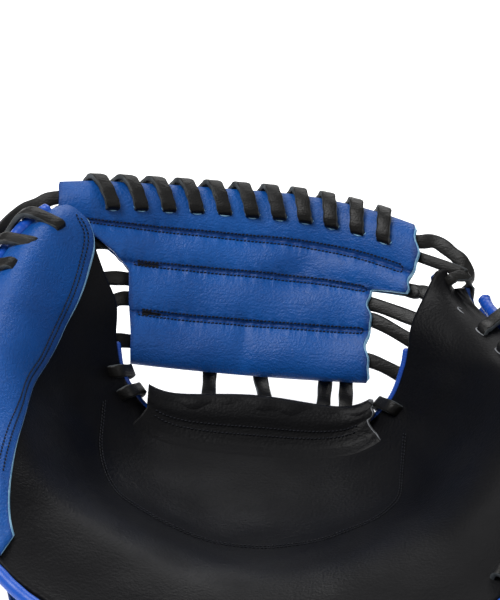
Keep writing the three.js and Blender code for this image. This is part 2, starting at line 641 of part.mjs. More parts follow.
// The rolled leather at the crotch, and the laces that stand between it and the web
const rollHeight = 15;
const rollHalf = 4.6;
const rollWall = 2.2;
const rollEnds = { left: -0.64, right: 0.66 }; // shares of half the notch
const rollRows = [
  { height: 0, full: 0.3 },
  { height: 0.3, full: 0.8 },
  { height: 0.65, full: 1 },
  { height: 0.9, full: 0.75 },
  { height: 1, full: 0.2 },
];
function notchSectionAt(x) {
  const half = range(61).map((i) => mix(4.8, 9.2, i / 60));
  const miss = (k) => Math.abs(facePoint(k, 0).x - x);
  return half.reduce((best, k) => (miss(k) < miss(best) ? k : best));
}
function rollFrame(x) {
  const k = notchSectionAt(x);
  const seat = facePoint(k, 0);
  const up = webUp.clone().lerp(xyz(0, 0, 1), 0.25).normalize();
  return { seat: along(seat, up, 1), up, out: xyz(0, -up.z, up.y) };
}
function rollRing(x) {
  const { seat, up, out } = rollFrame(x);
  const points = (inset) => {
    const place = (row, sign) => {
      const half = Math.max(row.full * rollHalf - inset, 0.25);
      return along(along(seat, up, mix(inset, rollHeight - inset, row.height)), out, sign * half);
    };
    return [...rollRows.map((row) => place(row, 1)), ...[...rollRows].reverse().map((row) => place(row, -1))];
  };
  return { outer: points(0), inner: points(rollWall) };
}
const rollColumns = 6;
const rollPlace = (t) => mix(rollEnds.left, rollEnds.right, t) * (notchWidth / 2);
const rollSleeve = sleeve(range(rollColumns + 1).map((i) => rollRing(rollPlace(i / rollColumns))));

// One row for each upright lace: where it leaves the roll and where it ends behind the web, as shares of
// the notch width.
const uprights = [
  { name: 'crotch_lace_1', foot: -0.143, head: -0.15, top: 0.6 },
  { name: 'crotch_lace_2', foot: 0.027, head: -0.035, top: 0.68 },
  { name: 'crotch_lace_3', foot: 0.195, head: 0.2, top: 0.6 },
  { name: 'crotch_lace_4', foot: 0.26, head: 0.255, top: 0.66 },
];
const across = xyz(1, 0, 0);
const behindWeb = -webFullness - laceReach - 0.3;
const behindRoll = -rollHalf - laceReach - 0.4;
function uprightLace({ foot, head, top }) {
  const x = { foot: foot * notchWidth, head: head * notchWidth };
  const { seat, up, out } = rollFrame(x.foot);
  const low = along(seat, out, behindRoll);
  const feet = [along(low, up, -edgePad), along(low, up, rollHeight * 0.8)];
  const heights = [0, 0.14, 0.28, 0.41, 0.54, top];
  const place = (i) => mix(x.foot, x.head, clamp01((i + 1) / 3));
  const behind = heights.map((h, i) => webPoint(place(i), h * webHeight, behindWeb));
  return [...feet, ...behind].map((p) => ({ p, across }));
}

// Thin cords and ties down the two sides of the notch
const notchCordUp = 2.6; // above the middle of the edge, where it shows from the pocket
const notchCords = [
  { name: 'notch_cord_thumb', from: 4, to: 5.6 },
  { name: 'notch_cord_fingers', from: 8.5, to: 10.4 },
].map((row) => ({
  ...row, edge: 0, out: notchCordRadius + 1, up: notchCordUp, radius: notchCordRadius, sides: 5,
}));
const notchReach = 2 * notchCordRadius + 1 + laceReach;
const notchLoop = [
  { out: -notchHoleInset, up: edgePad + laceReach + 1.2, gain: 0 },
  { out: notchCordRadius + 1, up: notchCordUp + notchCordRadius + laceReach + 0.5, gain: 0.3 },
  { out: notchReach + 0.3, up: notchCordUp + 0.8, gain: 0.45 },
  { out: notchReach, up: -1.6, gain: 0.55 },
  { out: notchCordRadius, up: -edgePad - laceReach, gain: 0.75 },
  { out: -notchHoleInset, up: -shellThickness - clearance - laceReach - 1.2, gain: 1 },
];
const notchFrames = (places) => places.map((k) => edgeFrame(k, 0));
const thumbNotchTie = woundLace(notchFrames([4.55, 5.05, 5.5]), notchLoop);
const fingerNotchTie = woundLace(notchFrames([9.1, 8.62]), notchLoop);

// The panel sewn over the thumb: one row for each section of its inner edge, as a share of the section.
const panelEdge = [
  { section: 0.05, from: 0.02 },
  { section: 0.5, from: 0.02 },
  { section: 1, from: 0.05 },
  { section: 2, from: 0.19 },
  { section: 3, from: 0.3 },
  { section: 4, from: 0.4 },
  { section: 5, from: 0.64 },
  { section: 5.8, from: 0.93 },
];
const panelSections = gridSections.filter((k) => k > 0 && k < 5.9);
const facetFace = (k, v) => {
  const column = wholeGrid[gridSections.indexOf(k)];
  const i = Math.min(column.length - 2, Math.max(0, column.findIndex(([, share]) => share >= v) - 1));
  const [low, high] = [column[i][1], column[i + 1][1]];
  return facePoint(k, low).lerp(facePoint(k, high), (v - low) / (high - low));
};
const liftedFacets = (height) => (k, v) => along(facetFace(k, v), normalOf(facePoint, k, v), height);
const palmRoom = slab(wholeGrid, raisedFace(clearance), padBackPoint);
const panelGrid = panelSections.map((k) => {
  const from = readTable(panelEdge, 'section', k, 'from');
  const flange = Math.max(rimV(k, 12), mix(from, 1, 0.5));
  return [from, mix(from, flange, 0.35), mix(from, flange, 0.7), flange, 1].map((v) => [k, v]);
});
const panelLift = 0.7;
const panelSlab = slab(panelGrid, liftedFacets(panelThickness + panelLift), liftedFacets(panelLift));

// The wrist opening in the back shell, and the strap across it
function roundedOutline(left, right, low, high, radius) {
  const shape = new THREE.Shape();
  shape.moveTo(left, low);
  shape.lineTo(right, low);
  shape.lineTo(right, high - radius);
  shape.quadraticCurveTo(right, high, right - radius, high);
  shape.lineTo(left + radius, high);
  shape.quadraticCurveTo(left, high, left, high - radius);
  return shape;
}
const mouthShape = roundedOutline(-mouthWidth / 2, mouthWidth / 2, -heelReach * 1.3, windowStart, windowCorner);
const mouthCut = { depth: rimHeight * 2, bevelEnabled: false, curveSegments: 4 };
const mouthCutter = new THREE.ExtrudeGeometry(mouthShape, mouthCut);
mouthCutter.translate(0, 0, -rimHeight);

const strapColumns = 14;
const strapPoint = (drop) => (i, v) => {
  const x = mix(-strapLength / 2, strapLength / 2, i / strapColumns);
  const taper = 1 - 0.25 * ease((Math.abs(x) / (strapLength / 2) - 0.8) / 0.2);
  const y = strapPlace + (v - 0.5) * strapWidth * taper;
  return xyz(x, y, Math.max(backHeight(x, y) - 1.1, strapThickness + 0.5) - drop);
};
const strapGrid = range(strapColumns + 1).map((i) => [0, 0.5, 1].map((v) => [i, v]));
const strapSlab = slab(strapGrid, strapPoint(0), strapPoint(strapThickness));

// The pieces
const laces = [
  { name: 'rim_lace_thumb', ...thumbLacing, through: ['palm', 'panel', 'shell'] },
  { name: 'rim_lace_fingers', ...fingerLacing, through: ['palm', 'shell'] },
  { name: 'notch_tie_thumb', ...thumbNotchTie, through: ['palm', 'shell'] },
  { name: 'notch_tie_fingers', ...fingerNotchTie, through: ['palm', 'shell'] },
  { name: 'web_top_lace', ...bandLacing, through: ['web'] },
  { name: 'web_lace_1', anchors: topLace, through: [] },
  ...crossings.map((row) => ({ name: row.name, anchors: crossingLace(row), through: [] })),
  ...tipTies.map((row) => (
    { name: row.name, ...tipTie(row), width: tipTieWidth, through: ['palm', 'shell'] })),
  ...uprights.map((row) => ({ name: row.name, anchors: uprightLace(row), through: [] })),
];
const holesIn = (piece) => laces
  .filter(({ through }) => through.includes(piece))
  .flatMap(({ holes, width }) => holes.map((hole) => holeFor(hole, width)));

const palmSlab = slab(wholeGrid, facePoint, padBackPoint);
const shellSlab = slab(wholeGrid, shellInnerPoint, backPoint);
const palmCut = cut(palmSlab, holesIn('palm'), laces);
const panelCut = cut(panelSlab, [palmRoom, ...holesIn('panel')], laces);
const shellCut = cut(shellSlab, [mouthCutter, ...holesIn('shell')], laces);
const webCut = cut(webSleeve, holesIn('web'), laces);
const cords = [...rimCords, ...notchCords];
const pieces = [
  { name: 'padded_palm', material: blackLeather, geometry: palmCut },
  { name: 'thumb_panel', material: royalBlue, geometry: panelCut },
  { name: 'back_shell', material: royalBlue, geometry: shellCut },
  { name: 'web_panel', material: royalBlue, geometry: webCut },
  { name: 'crotch_roll', material: blackLeather, geometry: rollSleeve },
  { name: 'wrist_strap', material: blackLeather, geometry: strapSlab },
  ...cords.map((row) => (
    { name: row.name, material: royalBlue, geometry: cut(edgeCord(row), [], laces) })),
  ...laces.map(({ name, anchors, width }) => (
    { name, material: laceBlack, geometry: lace(anchors, width) })),
];

const mitt = new THREE.Group();
for (const { name, material, geometry } of pieces) {
  const mesh = new THREE.Mesh(geometry, material);
  mesh.name = name;
  mitt.add(mesh);
}

export default mitt;
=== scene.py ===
# %% [markdown]
# # A catcher's mitt in blue and black leather
# The mitt lies on its back and we look down into its pocket. The imported CAD part is the frame: every
# piece below is built on the same sizes, so it goes where the frame says. We load the frame first. The
# finished model has to stay inside it.

# %% Load the frame
import math

import bpy
import numpy as np
from mathutils import Matrix, Vector


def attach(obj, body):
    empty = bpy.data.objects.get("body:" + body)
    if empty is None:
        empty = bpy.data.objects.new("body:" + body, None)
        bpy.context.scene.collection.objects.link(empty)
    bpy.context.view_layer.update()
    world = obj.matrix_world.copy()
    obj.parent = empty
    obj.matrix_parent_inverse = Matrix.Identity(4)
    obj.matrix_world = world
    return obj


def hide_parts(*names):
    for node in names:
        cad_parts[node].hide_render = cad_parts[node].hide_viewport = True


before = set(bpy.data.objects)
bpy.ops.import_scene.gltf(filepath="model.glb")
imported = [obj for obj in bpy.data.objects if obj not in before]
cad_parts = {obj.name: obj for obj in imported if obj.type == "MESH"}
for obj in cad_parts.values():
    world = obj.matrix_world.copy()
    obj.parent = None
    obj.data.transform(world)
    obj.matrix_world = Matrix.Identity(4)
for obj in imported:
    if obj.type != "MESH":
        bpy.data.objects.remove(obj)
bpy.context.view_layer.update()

print("frame nodes:", len(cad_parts))

# %% [markdown]
# ## Sizes
# A maker cuts the leather from patterns, and these are ours. All of them are in millimetres, as in the
# part's own source, and MM turns them into Blender's metres at the very end. Keeping one unit in the
# script makes each number easy to check against a ruler.

# %% Sizes in millimetres
MM = 0.001
MITT_WIDTH, NOTCH_WIDTH, RIM_HEIGHT = 260, 150, 118
HEEL_REACH, TIP_REACH = 135, 94
EDGE_PAD, POCKET_PAD, RIM_PAD = 4, 9, 24
SHELL, PANEL, GAP = 2.7, 2.0, 0.35
FLANGE, HOLE_INSET = 11, 7.5
LACE_WIDTH, LACE_THICK = 6.2, 2.6
WELT_RADIUS, CORD_RADIUS = 2.9, 1.7
RIM_PITCH, BAND_PITCH = 18.5, 12.7
WEB_HEIGHT, WEB_WALL, WEB_BOW, WEB_FULL = 83.4, 2.2, 14, 6.2
WEB_DROP = {"thumb": 4, "fingers": 18}
WEB_BASE = (60, 59.3)
WEB_LEAN = math.radians(45)
MOUTH_WIDTH, WINDOW_START = 118, -52
STRAP_WIDTH, STRAP_PLACE, STRAP_LENGTH, STRAP_THICK = 28, -92, 164, 2.6

# %% [markdown]
# ## The catching face
# The palm is one smooth surface that runs from the thumb tip, round the heel, to the finger tip. We
# describe it by sections across it, as a boat builder uses frames: k counts the sections, and v goes from
# the notch edge (0) to the outer rim (1). A smooth curve through the rows gives any place between them.

# %% The section table
# in X, Y, Z of the notch edge; height of the wall and of the crest; out X, Y, Z of the rim, all as shares
SECTIONS = np.array([
    (-1.085, 0.957, 0.958, 0.966, 0.98, -0.7, 0.957, 0.983),
    (-1.03, 0.894, 0.89, 0.945, 1.0, -0.777, 0.82, 0.985),
    (-0.955, 0.819, 0.797, 0.865, 0.99, -0.862, 0.6, 0.955),
    (-0.867, 0.745, 0.695, 0.79, 0.95, -0.954, 0.23, 0.9),
    (-0.847, 0.638, 0.576, 0.7, 0.895, -1.0, -0.13, 0.84),
    (-0.76, 0.553, 0.44, 0.51, 0.765, -0.938, -0.43, 0.7),
    (-0.507, 0.484, 0.322, 0.345, 0.58, -0.692, -0.778, 0.53),
    (0, 0.468, 0.305, 0.271, 0.458, 0, -1.0, 0.41),
    (0.507, 0.484, 0.322, 0.34, 0.56, 0.692, -0.778, 0.51),
    (0.76, 0.553, 0.44, 0.49, 0.705, 0.946, -0.43, 0.65),
    (0.847, 0.638, 0.576, 0.655, 0.83, 1.0, -0.085, 0.785),
    (0.867, 0.745, 0.7, 0.745, 0.79, 0.93, 0.25, 0.785),
    (0.933, 0.851, 0.78, 0.785, 0.775, 0.8, 0.62, 0.775),
    (1.0, 0.936, 0.837, 0.8, 0.766, 0.705, 0.83, 0.772),
    (1.05, 0.99, 0.828, 0.8, 0.776, 0.645, 0.935, 0.784),
])
LAST = len(SECTIONS) - 1
HEEL = 7
HEIGHT_PLACES = (0, 0.33, 0.72, 1)


def smooth_column(column, i):
    """A smooth value of one column of a table, with i counting rows."""
    column, i = np.asarray(column, float), np.asarray(i, float)
    n = np.clip(np.floor(i).astype(int), 0, len(column) - 2)
    t = i - n
    a, b, c, d = (column[np.clip(n + step, 0, len(column) - 1)] for step in (-1, 0, 1, 2))
    return b + 0.5 * t * (c - a + t * (2 * a - 5 * b + 4 * c - d + t * (3 * (b - c) + d - a)))


def stack(x, y, z):
    return np.stack(np.broadcast_arrays(x, y, z), -1).astype(float)


def station(k):
    """The two ends of section k and the two heights between them."""
    read = [smooth_column(SECTIONS[:, c], k) for c in range(8)]
    reach = lambda share: share * np.where(share < 0, HEEL_REACH, TIP_REACH)
    inner = stack(read[0] * NOTCH_WIDTH / 2, reach(read[1]), read[2] * RIM_HEIGHT)
    outer = stack(read[5] * MITT_WIDTH / 2, reach(read[6]), read[7] * RIM_HEIGHT)
    return inner, outer, read[3] * RIM_HEIGHT, read[4] * RIM_HEIGHT


def face_point(k, v):
    k, v = np.broadcast_arrays(np.asarray(k, float), np.asarray(v, float))
    inner, outer, wall, crest = station(k)
    heights = [inner[..., 2], wall, crest, outer[..., 2]]
    widths = np.diff(HEIGHT_PLACES)
    secants = [(heights[i + 1] - heights[i]) / widths[i] for i in range(3)]
    slopes = [secants[0], (secants[0] + secants[1]) / 2, (secants[1] + secants[2]) / 2, secants[2] * 0.7]
    pieces = []
    for i in range(3):
        t = (v - HEIGHT_PLACES[i]) / widths[i]
        rise = (heights[i + 1] - heights[i]) * t * t * (3 - 2 * t)
        bend = t * (1 - t) ** 2 * slopes[i] + t * t * (t - 1) * slopes[i + 1]
        pieces.append(heights[i] + rise + widths[i] * bend)
    z = np.where(v < HEIGHT_PLACES[1], pieces[0], np.where(v < HEIGHT_PLACES[2], pieces[1], pieces[2]))
    plan = inner + (outer - inner) * v[..., None]
    return stack(plan[..., 0], plan[..., 1], z)


print("thumb tip:", face_point(0.5, 0.5).round(1), " heel:", face_point(HEEL, 1.0).round(1))

# %% [markdown]
# ## The layers under the face
# Under the palm leather lies padding, and under that the leather of the back. At the rim and at the notch
# the layers meet in a flat edge that the lace goes through. The helpers below say how thick each layer is
# at any place, so that the palm and the back fit each other without being fitted by eye.

# %% Directions and layers
def unit(a):
    return a / np.maximum(np.linalg.norm(a, axis=-1, keepdims=True), 1e-9)


def dot(a, b):
    return (a * b).sum(-1)


def ease(t):
    t = np.clip(t, 0, 1)
    return t * t * (3 - 2 * t)


def mix(a, b, t):
    return a + (b - a) * t


def square_span(k, edge):
    """Width of a section in plan, measured square to the notch edge (0) or the rim (1)."""
    inner, outer = station(k)[:2]
    after, before = (station(np.clip(k + s, 0, LAST))[edge] for s in (0.02, -0.02))
    run = unit((after - before) * (1, 1, 0))
    width = (outer - inner) * (1, 1, 0)
    return np.linalg.norm(width - run * dot(width, run)[..., None], axis=-1)


def rim_v(k, inset):
    return 1 - inset / square_span(k, 1)


def notch_v(k, inset):
    return inset / square_span(k, 0)


def normal_of(surface, k, v, step=0.01):
    k, v = np.broadcast_arrays(np.asarray(k, float), np.asarray(v, float))
    dk = surface(np.minimum(LAST, k + step), v) - surface(np.maximum(0, k - step), v)
    dv = surface(k, np.minimum(1, v + step)) - surface(k, np.maximum(0, v - step))
    normal = unit(np.cross(dk, dv))
    return np.where(normal[..., 2:] < 0, -normal, normal)


BACK_RISE = ((0, 0.05), (30, 0.1), (60, 0.42), (90, 0.58), (120, 0.66), (150, 0.68), (180, 0.6))
FLAT_SHARE = 0.42
EDGE_STACK = EDGE_PAD + SHELL + 2 * GAP - 0.1


def rim_share(x, y):
    return np.hypot(x / (MITT_WIDTH / 2), y / np.where(y < 0, HEEL_REACH, TIP_REACH * 1.2))


def back_height(x, y):
    angle = np.degrees(np.arctan2(np.abs(x), -y))
    rise = np.interp(angle, *zip(*BACK_RISE)) * RIM_HEIGHT
    return rise * np.clip((rim_share(x, y) - FLAT_SHARE) / (1 - FLAT_SHARE), 0, 1) ** 1.7


def layers_at(k, v):
    """The face point, the way down through the leather, and the depths of pad, shell and all."""
    k, v = np.broadcast_arrays(np.asarray(k, float), np.asarray(v, float))
    notch_span, rim_span = square_span(k, 0), square_span(k, 1)
    from_notch, from_rim = v * notch_span, (1 - v) * rim_span
    near = np.minimum(from_notch, from_rim)
    face = face_point(k, v)
    lean = (1 - ease((near - FLANGE + 2) / 7))[..., None]
    down = -unit((0, 0, 1) * (1 - lean) + normal_of(face_point, k, v) * lean)
    open_heel = 1 - ease((np.abs(k - HEEL) - 0.75) / 0.65)
    swell = np.minimum(0.38 * np.minimum(notch_span, rim_span), 28)
    rim_side = mix((from_rim - FLANGE) / swell, 1, open_heel)
    grow = ease(np.minimum((from_notch - FLANGE + 1) / swell, rim_side))
    total = mix(EDGE_STACK, face[..., 2] - back_height(face[..., 0], face[..., 1]), grow)
    share = rim_share(face[..., 0], face[..., 1])
    full_pad = mix(POCKET_PAD, RIM_PAD, ease((share - 0.25) / 0.5))
    shell = SHELL / mix(1, 0.62, grow * ease((share - FLAT_SHARE) / 0.35))
    pad = mix(EDGE_PAD, full_pad, ease((near - FLANGE) / (0.7 * swell)))
    pad = np.minimum(pad, total - shell - 2 * GAP)
    return face, down, total, pad, shell


def pad_back(k, v):
    face, down, _, pad, _ = layers_at(k, v)
    return face + down * pad[..., None]


def back_point(k, v):
    face, down, total, _, _ = layers_at(k, v)
    return face + down * total[..., None]


def shell_inner(k, v):
    face, down, total, _, shell = layers_at(k, v)
    return face + down * (total - shell)[..., None]


print("layers at the heel:", [float(np.round(d, 1)) for d in layers_at(HEEL, 0.5)[2:]])

# %% [markdown]
# ## Shared surface effects
# Blue leather, black leather, piping and laces all have a grain, small creases and a slow drift of
# colour. A node group is a recipe that is made once and used in each material with its own values. The
# groups put out only a height or a mask, and each material keeps its own shader.

# %% Node helpers
def srgb(r, g, b):
    """A colour picked as 0 to 255, as Blender wants it."""
    channel = lambda c: c / 12.92 if c <= 0.04045 else ((c + 0.055) / 1.055) ** 2.4
    return tuple(channel(c / 255) for c in (r, g, b)) + (1,)


def new_group(name, inputs, outputs):
    """A shader node group with named float inputs (name: default) and float outputs."""
    group = bpy.data.node_groups.new(name, "ShaderNodeTree")
    for label, default in inputs.items():
        socket = group.interface.new_socket(label, in_out="INPUT", socket_type="NodeSocketFloat")
        socket.default_value = default
    for label in outputs:
        group.interface.new_socket(label, in_out="OUTPUT", socket_type="NodeSocketFloat")
    return group, group.nodes.new("NodeGroupInput"), group.nodes.new("NodeGroupOutput")


def node(tree, kind, links=None, **settings):
    """Adds a node, sets its properties and plain sockets, and links the sockets named in links."""
    made = tree.nodes.new(kind)
    for key, value in settings.items():
        if hasattr(made, key):
            setattr(made, key, value)
        else:
            made.inputs[key.replace("_", " ")].default_value = value
    for key, source in (links or {}).items():
        target = made.inputs[key] if isinstance(key, int) else made.inputs[key]
        tree.links.new(source, target)
    return made


def math_node(tree, operation, a, b=None):
    made = tree.nodes.new("ShaderNodeMath")
    made.operation = operation
    for socket, value in zip(made.inputs, (a, b)):
        if value is None:
            continue
        if isinstance(value, (int, float)):
            socket.default_value = value
        else:
            tree.links.new(value, socket)
    return made.outputs[0]


# %% The leather grain group
def make_grain_group():
    """Small round pebbles with fine pores between them, and soft creases that run one way."""
    group, given, result = new_group(
        "leather_grain", {"Pebbles per metre": 900.0, "Creases": 0.5, "Pores": 0.5}, ["Height", "Worn"])
    place = node(group, "ShaderNodeTexCoord").outputs["Object"]
    pebbles = node(group, "ShaderNodeTexVoronoi", {"Vector": place, "Scale": given.outputs[0]}, feature="SMOOTH_F1")
    fine = node(group, "ShaderNodeTexNoise", {"Vector": place}, Scale=2600.0, Detail=2.0)
    stretch = node(group, "ShaderNodeMapping", {"Vector": place}, Scale=(60.0, 210.0, 210.0))
    creases = node(group, "ShaderNodeTexNoise", {"Vector": stretch.outputs[0]}, Scale=1.6, Detail=5.0, Distortion=0.6)
    sharp = math_node(group, "ABSOLUTE", math_node(group, "SUBTRACT", creases.outputs[0], 0.5))
    crease = math_node(group, "MULTIPLY", math_node(group, "MINIMUM", math_node(group, "MULTIPLY", sharp, 9.0), 1.0),
                       given.outputs[1])
    pore = math_node(group, "MULTIPLY", fine.outputs[0], given.outputs[2])
    height = math_node(group, "ADD", math_node(group, "ADD", math_node(group, "SUBTRACT", 1.0, pebbles.outputs[0]), crease),
                       pore)
    patches = node(group, "ShaderNodeTexNoise", {"Vector": place}, Scale=38.0, Detail=4.0)
    group.links.new(height, result.inputs[0])
    group.links.new(patches.outputs[0], result.inputs[1])
    return group


def make_drift_group():
    """A slow change of tone, from 0 to 1, with a little of a faster one."""
    group, given, result = new_group("tone_drift", {"Patches per metre": 14.0, "Fast share": 0.25}, ["Tone"])
    place = node(group, "ShaderNodeTexCoord").outputs["Object"]
    slow = node(group, "ShaderNodeTexNoise", {"Vector": place, "Scale": given.outputs[0]}, Detail=3.0)
    fast = node(group, "ShaderNodeTexNoise", {"Vector": place}, Scale=420.0, Detail=3.0)
    tone = math_node(group, "ADD", slow.outputs[0],
                     math_node(group, "MULTIPLY", math_node(group, "SUBTRACT", fast.outputs[0], 0.5), given.outputs[1]))
    group.links.new(tone, result.inputs[0])
    return group


def make_edge_group():
    """Reads how close a place is to a cut edge or seam, from a value stored on the mesh, and roughens it. The mask
    darkens the colour: wear at cut edges, painted shade along seams.
    """
    group, given, result = new_group("edge_wear_and_seam_shade", {"Reach mm": 3.0}, ["Near"])
    stored = node(group, "ShaderNodeAttribute", attribute_name="edge_mm")
    place = node(group, "ShaderNodeTexCoord").outputs["Object"]
    ragged = node(group, "ShaderNodeTexNoise", {"Vector": place}, Scale=500.0, Detail=2.0)
    distance = math_node(group, "DIVIDE", stored.outputs["Fac"], given.outputs[0])
    near = math_node(group, "SUBTRACT", 1.0, math_node(group, "MINIMUM", distance, 1.0))
    group.links.new(math_node(group, "MULTIPLY", near, math_node(group, "ADD", ragged.outputs[0], 0.4)), result.inputs[0])
    return group


GRAIN, DRIFT, EDGE = make_grain_group(), make_drift_group(), make_edge_group()
print("node groups:", [g.name for g in (GRAIN, DRIFT, EDGE)])

# %% [markdown]
# ## Leathers
# A leather material needs a base colour that drifts, a roughness that follows the grain, and a bump that
# catches the light. Smooth dyed leather has a thin finish on top, so it gets a weak coat. The cut edge
# of the same leather is paler and quite matt, because the dye only covers the face.

# %% One leather recipe for every leather piece
def leather(name, dark, light, rough=0.45, pebbles=900.0, creases=0.5, pores=0.5, bump=0.25, coat=0.15,
            patches=14.0, wear_and_seam_shade=None, wear_and_shade_reach=3.0, depth=0.0004, shine=0.3):
    material = bpy.data.materials.new(name)
    material.use_nodes = True
    tree = material.node_tree
    shader = tree.nodes["Principled BSDF"]
    grain = node(tree, "ShaderNodeGroup", node_tree=GRAIN)
    for socket, value in zip(grain.inputs, (pebbles, creases, pores)):
        socket.default_value = value
    drift = node(tree, "ShaderNodeGroup", node_tree=DRIFT)
    drift.inputs[0].default_value = patches
    ramp = tree.nodes.new("ShaderNodeValToRGB")
    ramp.color_ramp.elements[0].color, ramp.color_ramp.elements[1].color = dark, light
    ramp.color_ramp.elements[0].position, ramp.color_ramp.elements[1].position = 0.3, 0.72
    tree.links.new(drift.outputs[0], ramp.inputs[0])
    colour = ramp.outputs[0]
    # darker colour near cut edges and seams: wear at the cut edges, painted shade in the creases along the web's seams
    if wear_and_seam_shade:
        near = node(tree, "ShaderNodeGroup", node_tree=EDGE)
        near.inputs[0].default_value = wear_and_shade_reach
        blend = node(tree, "ShaderNodeMix", data_type="RGBA")
        tree.links.new(near.outputs[0], blend.inputs[0])
        tree.links.new(colour, blend.inputs[6])
        blend.inputs[7].default_value = wear_and_seam_shade
        colour = blend.outputs[2]
    tree.links.new(colour, shader.inputs["Base Color"])
    spread = node(tree, "ShaderNodeMapRange", {"Value": grain.outputs[1]}, From_Min=0.3, From_Max=0.7,
                  To_Min=rough - 0.07, To_Max=rough + 0.09)
    tree.links.new(spread.outputs[0], shader.inputs["Roughness"])
    relief = node(tree, "ShaderNodeBump", {"Height": grain.outputs[0]}, Strength=bump, Distance=depth)
    tree.links.new(relief.outputs[0], shader.inputs["Normal"])
    shader.inputs["Coat Weight"].default_value = coat
    shader.inputs["Coat Roughness"].default_value = 0.35
    shader.inputs["IOR"].default_value = 1.42
    shader.inputs["Specular IOR Level"].default_value = shine
    return material


# the blue darkens within 2.2 mm of cut edges and web seams: wear at the cut edges, painted shade in the seam creases
BLUE = leather("blue_leather", srgb(1, 53, 114), srgb(5, 74, 146), rough=0.42, pebbles=1150.0, creases=0.28,
               pores=0.7, bump=0.5, coat=0.07, wear_and_seam_shade=srgb(3, 44, 102), wear_and_shade_reach=2.2, depth=0.0005, shine=0.3)
BLACK = leather("black_leather", srgb(4, 4, 6), srgb(9, 9, 11), rough=0.47, pebbles=900.0, creases=0.25,
                bump=0.3, coat=0.0, depth=0.0004, shine=0.12)
PIPING = leather("blue_piping", srgb(8, 56, 142), srgb(18, 76, 170), rough=0.36, pebbles=1300.0, creases=0.2,
                 bump=0.15, coat=0.12, shine=0.4)
BLUE_EDGE = leather("blue_cut_edge", srgb(110, 164, 204), srgb(160, 204, 230), rough=0.85, pebbles=2200.0,
                    creases=0.1, pores=1.0, bump=0.6, coat=0.0, patches=300.0)
BLACK_EDGE = leather("black_cut_edge", srgb(84, 86, 90), srgb(134, 136, 140), rough=0.85, pebbles=2200.0,
                     creases=0.1, pores=1.0, bump=0.6, coat=0.0, patches=300.0)
LACE = leather("lace_face", srgb(7, 7, 7), srgb(16, 15, 14), rough=0.42, pebbles=1500.0, creases=0.6,
               bump=0.25, coat=0.0, patches=60.0, shine=0.26)
LACE_EDGE = leather("lace_cut_edge", srgb(38, 41, 43), srgb(72, 77, 80), rough=0.8, pebbles=2600.0, creases=0.1,
                    pores=1.0, bump=0.5, coat=0.0, patches=200.0)
THREAD = leather("black_thread", srgb(5, 6, 11), srgb(13, 16, 26), rough=0.6, pebbles=3200.0, creases=0.0,
                 bump=0.4, coat=0.0, patches=400.0)
LINING = leather("flesh_side", srgb(20, 48, 100), srgb(44, 78, 130), rough=0.9, pebbles=1800.0, creases=0.2,
                 pores=1.0, bump=0.6, coat=0.0, patches=60.0)
print("materials:", len(bpy.data.materials))

# %% [markdown]
# ## Building a skin from rings
# Nearly every piece here is a tube of some kind: a slab of leather is a very flat tube with closed ends, a
# sleeve is a tube with a wall, and a welt is a round one. So one helper takes a stack of rings, each a
# loop of points, joins them with faces and rounds nothing by itself. The rounding is in the rings.

# %% Mesh helpers
def finish_piece(name, points, faces, materials, face_slots, replaces=(), edge_mm=None):
    mesh = bpy.data.meshes.new(name)
    mesh.from_pydata((np.asarray(points, float) * MM).tolist(), [], [list(map(int, f)) for f in faces])
    for material in materials:
        mesh.materials.append(material)
    mesh.polygons.foreach_set("material_index", np.asarray(face_slots, int))
    mesh.polygons.foreach_set("use_smooth", np.ones(len(faces), bool))
    if edge_mm is not None:
        mesh.attributes.new("edge_mm", "FLOAT", "POINT").data.foreach_set("value", np.asarray(edge_mm, float))
    mesh.update()
    mesh.validate()
    piece = bpy.data.objects.new(name, mesh)
    bpy.context.scene.collection.objects.link(piece)
    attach(piece, "root")
    if replaces:
        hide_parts(*replaces)
    return piece


def ring_faces(rings, count, closed=True, cap=True, start=0):
    """Quads between rings of count points each, and flat caps on the first and last ring."""
    faces = []
    for i in range(rings - 1):
        for j in range(count if closed else count - 1):
            n = (j + 1) % count
            a, b = start + i * count, start + (i + 1) * count
            faces.append((a + j, b + j, b + n, a + n))
    if cap:
        faces.append(tuple(start + j for j in range(count)))
        faces.append(tuple(start + (rings - 1) * count + j for j in reversed(range(count))))
    return faces


def outward(points, faces):
    """Turns all faces over if the closed skin is inside out."""
    points = np.asarray(points, float)
    volume = 0.0
    for face in faces:
        a = points[face[0]]
        for b, c in zip(face[1:], face[2:]):
            volume += np.dot(a, np.cross(points[b], points[c]))
    return faces if volume > 0 else [tuple(reversed(face)) for face in faces]


def spline(points, steps):
    """More points on the smooth curve through the given ones, for rows of any width."""
    points = np.asarray(points, float)
    places = np.linspace(0, len(points) - 1, (len(points) - 1) * steps + 1)
    return np.stack([smooth_column(points[:, c], places) for c in range(points.shape[1])], -1)


def sweep(centres, across, profile):
    """Rings of profile points (a along across, b square to it) round a line of centres."""
    centres = np.asarray(centres, float)
    tangent = unit(np.gradient(centres, axis=0))
    side = unit(across - tangent * dot(across, tangent)[:, None])
    flat = np.cross(tangent, side)
    return np.array([[c + s * a + f * b for a, b in profile] for c, s, f in zip(centres, side, flat)])


print("helpers ready")

# %% [markdown]
# ## A leather slab with a rolled edge
# The palm and the back are each a wide slab between two surfaces. Going round one section we pass the
# face, the edge at the rim, the underside and the edge at the notch. The edge is a half circle, because
# the maker folds the leather over before lacing it.

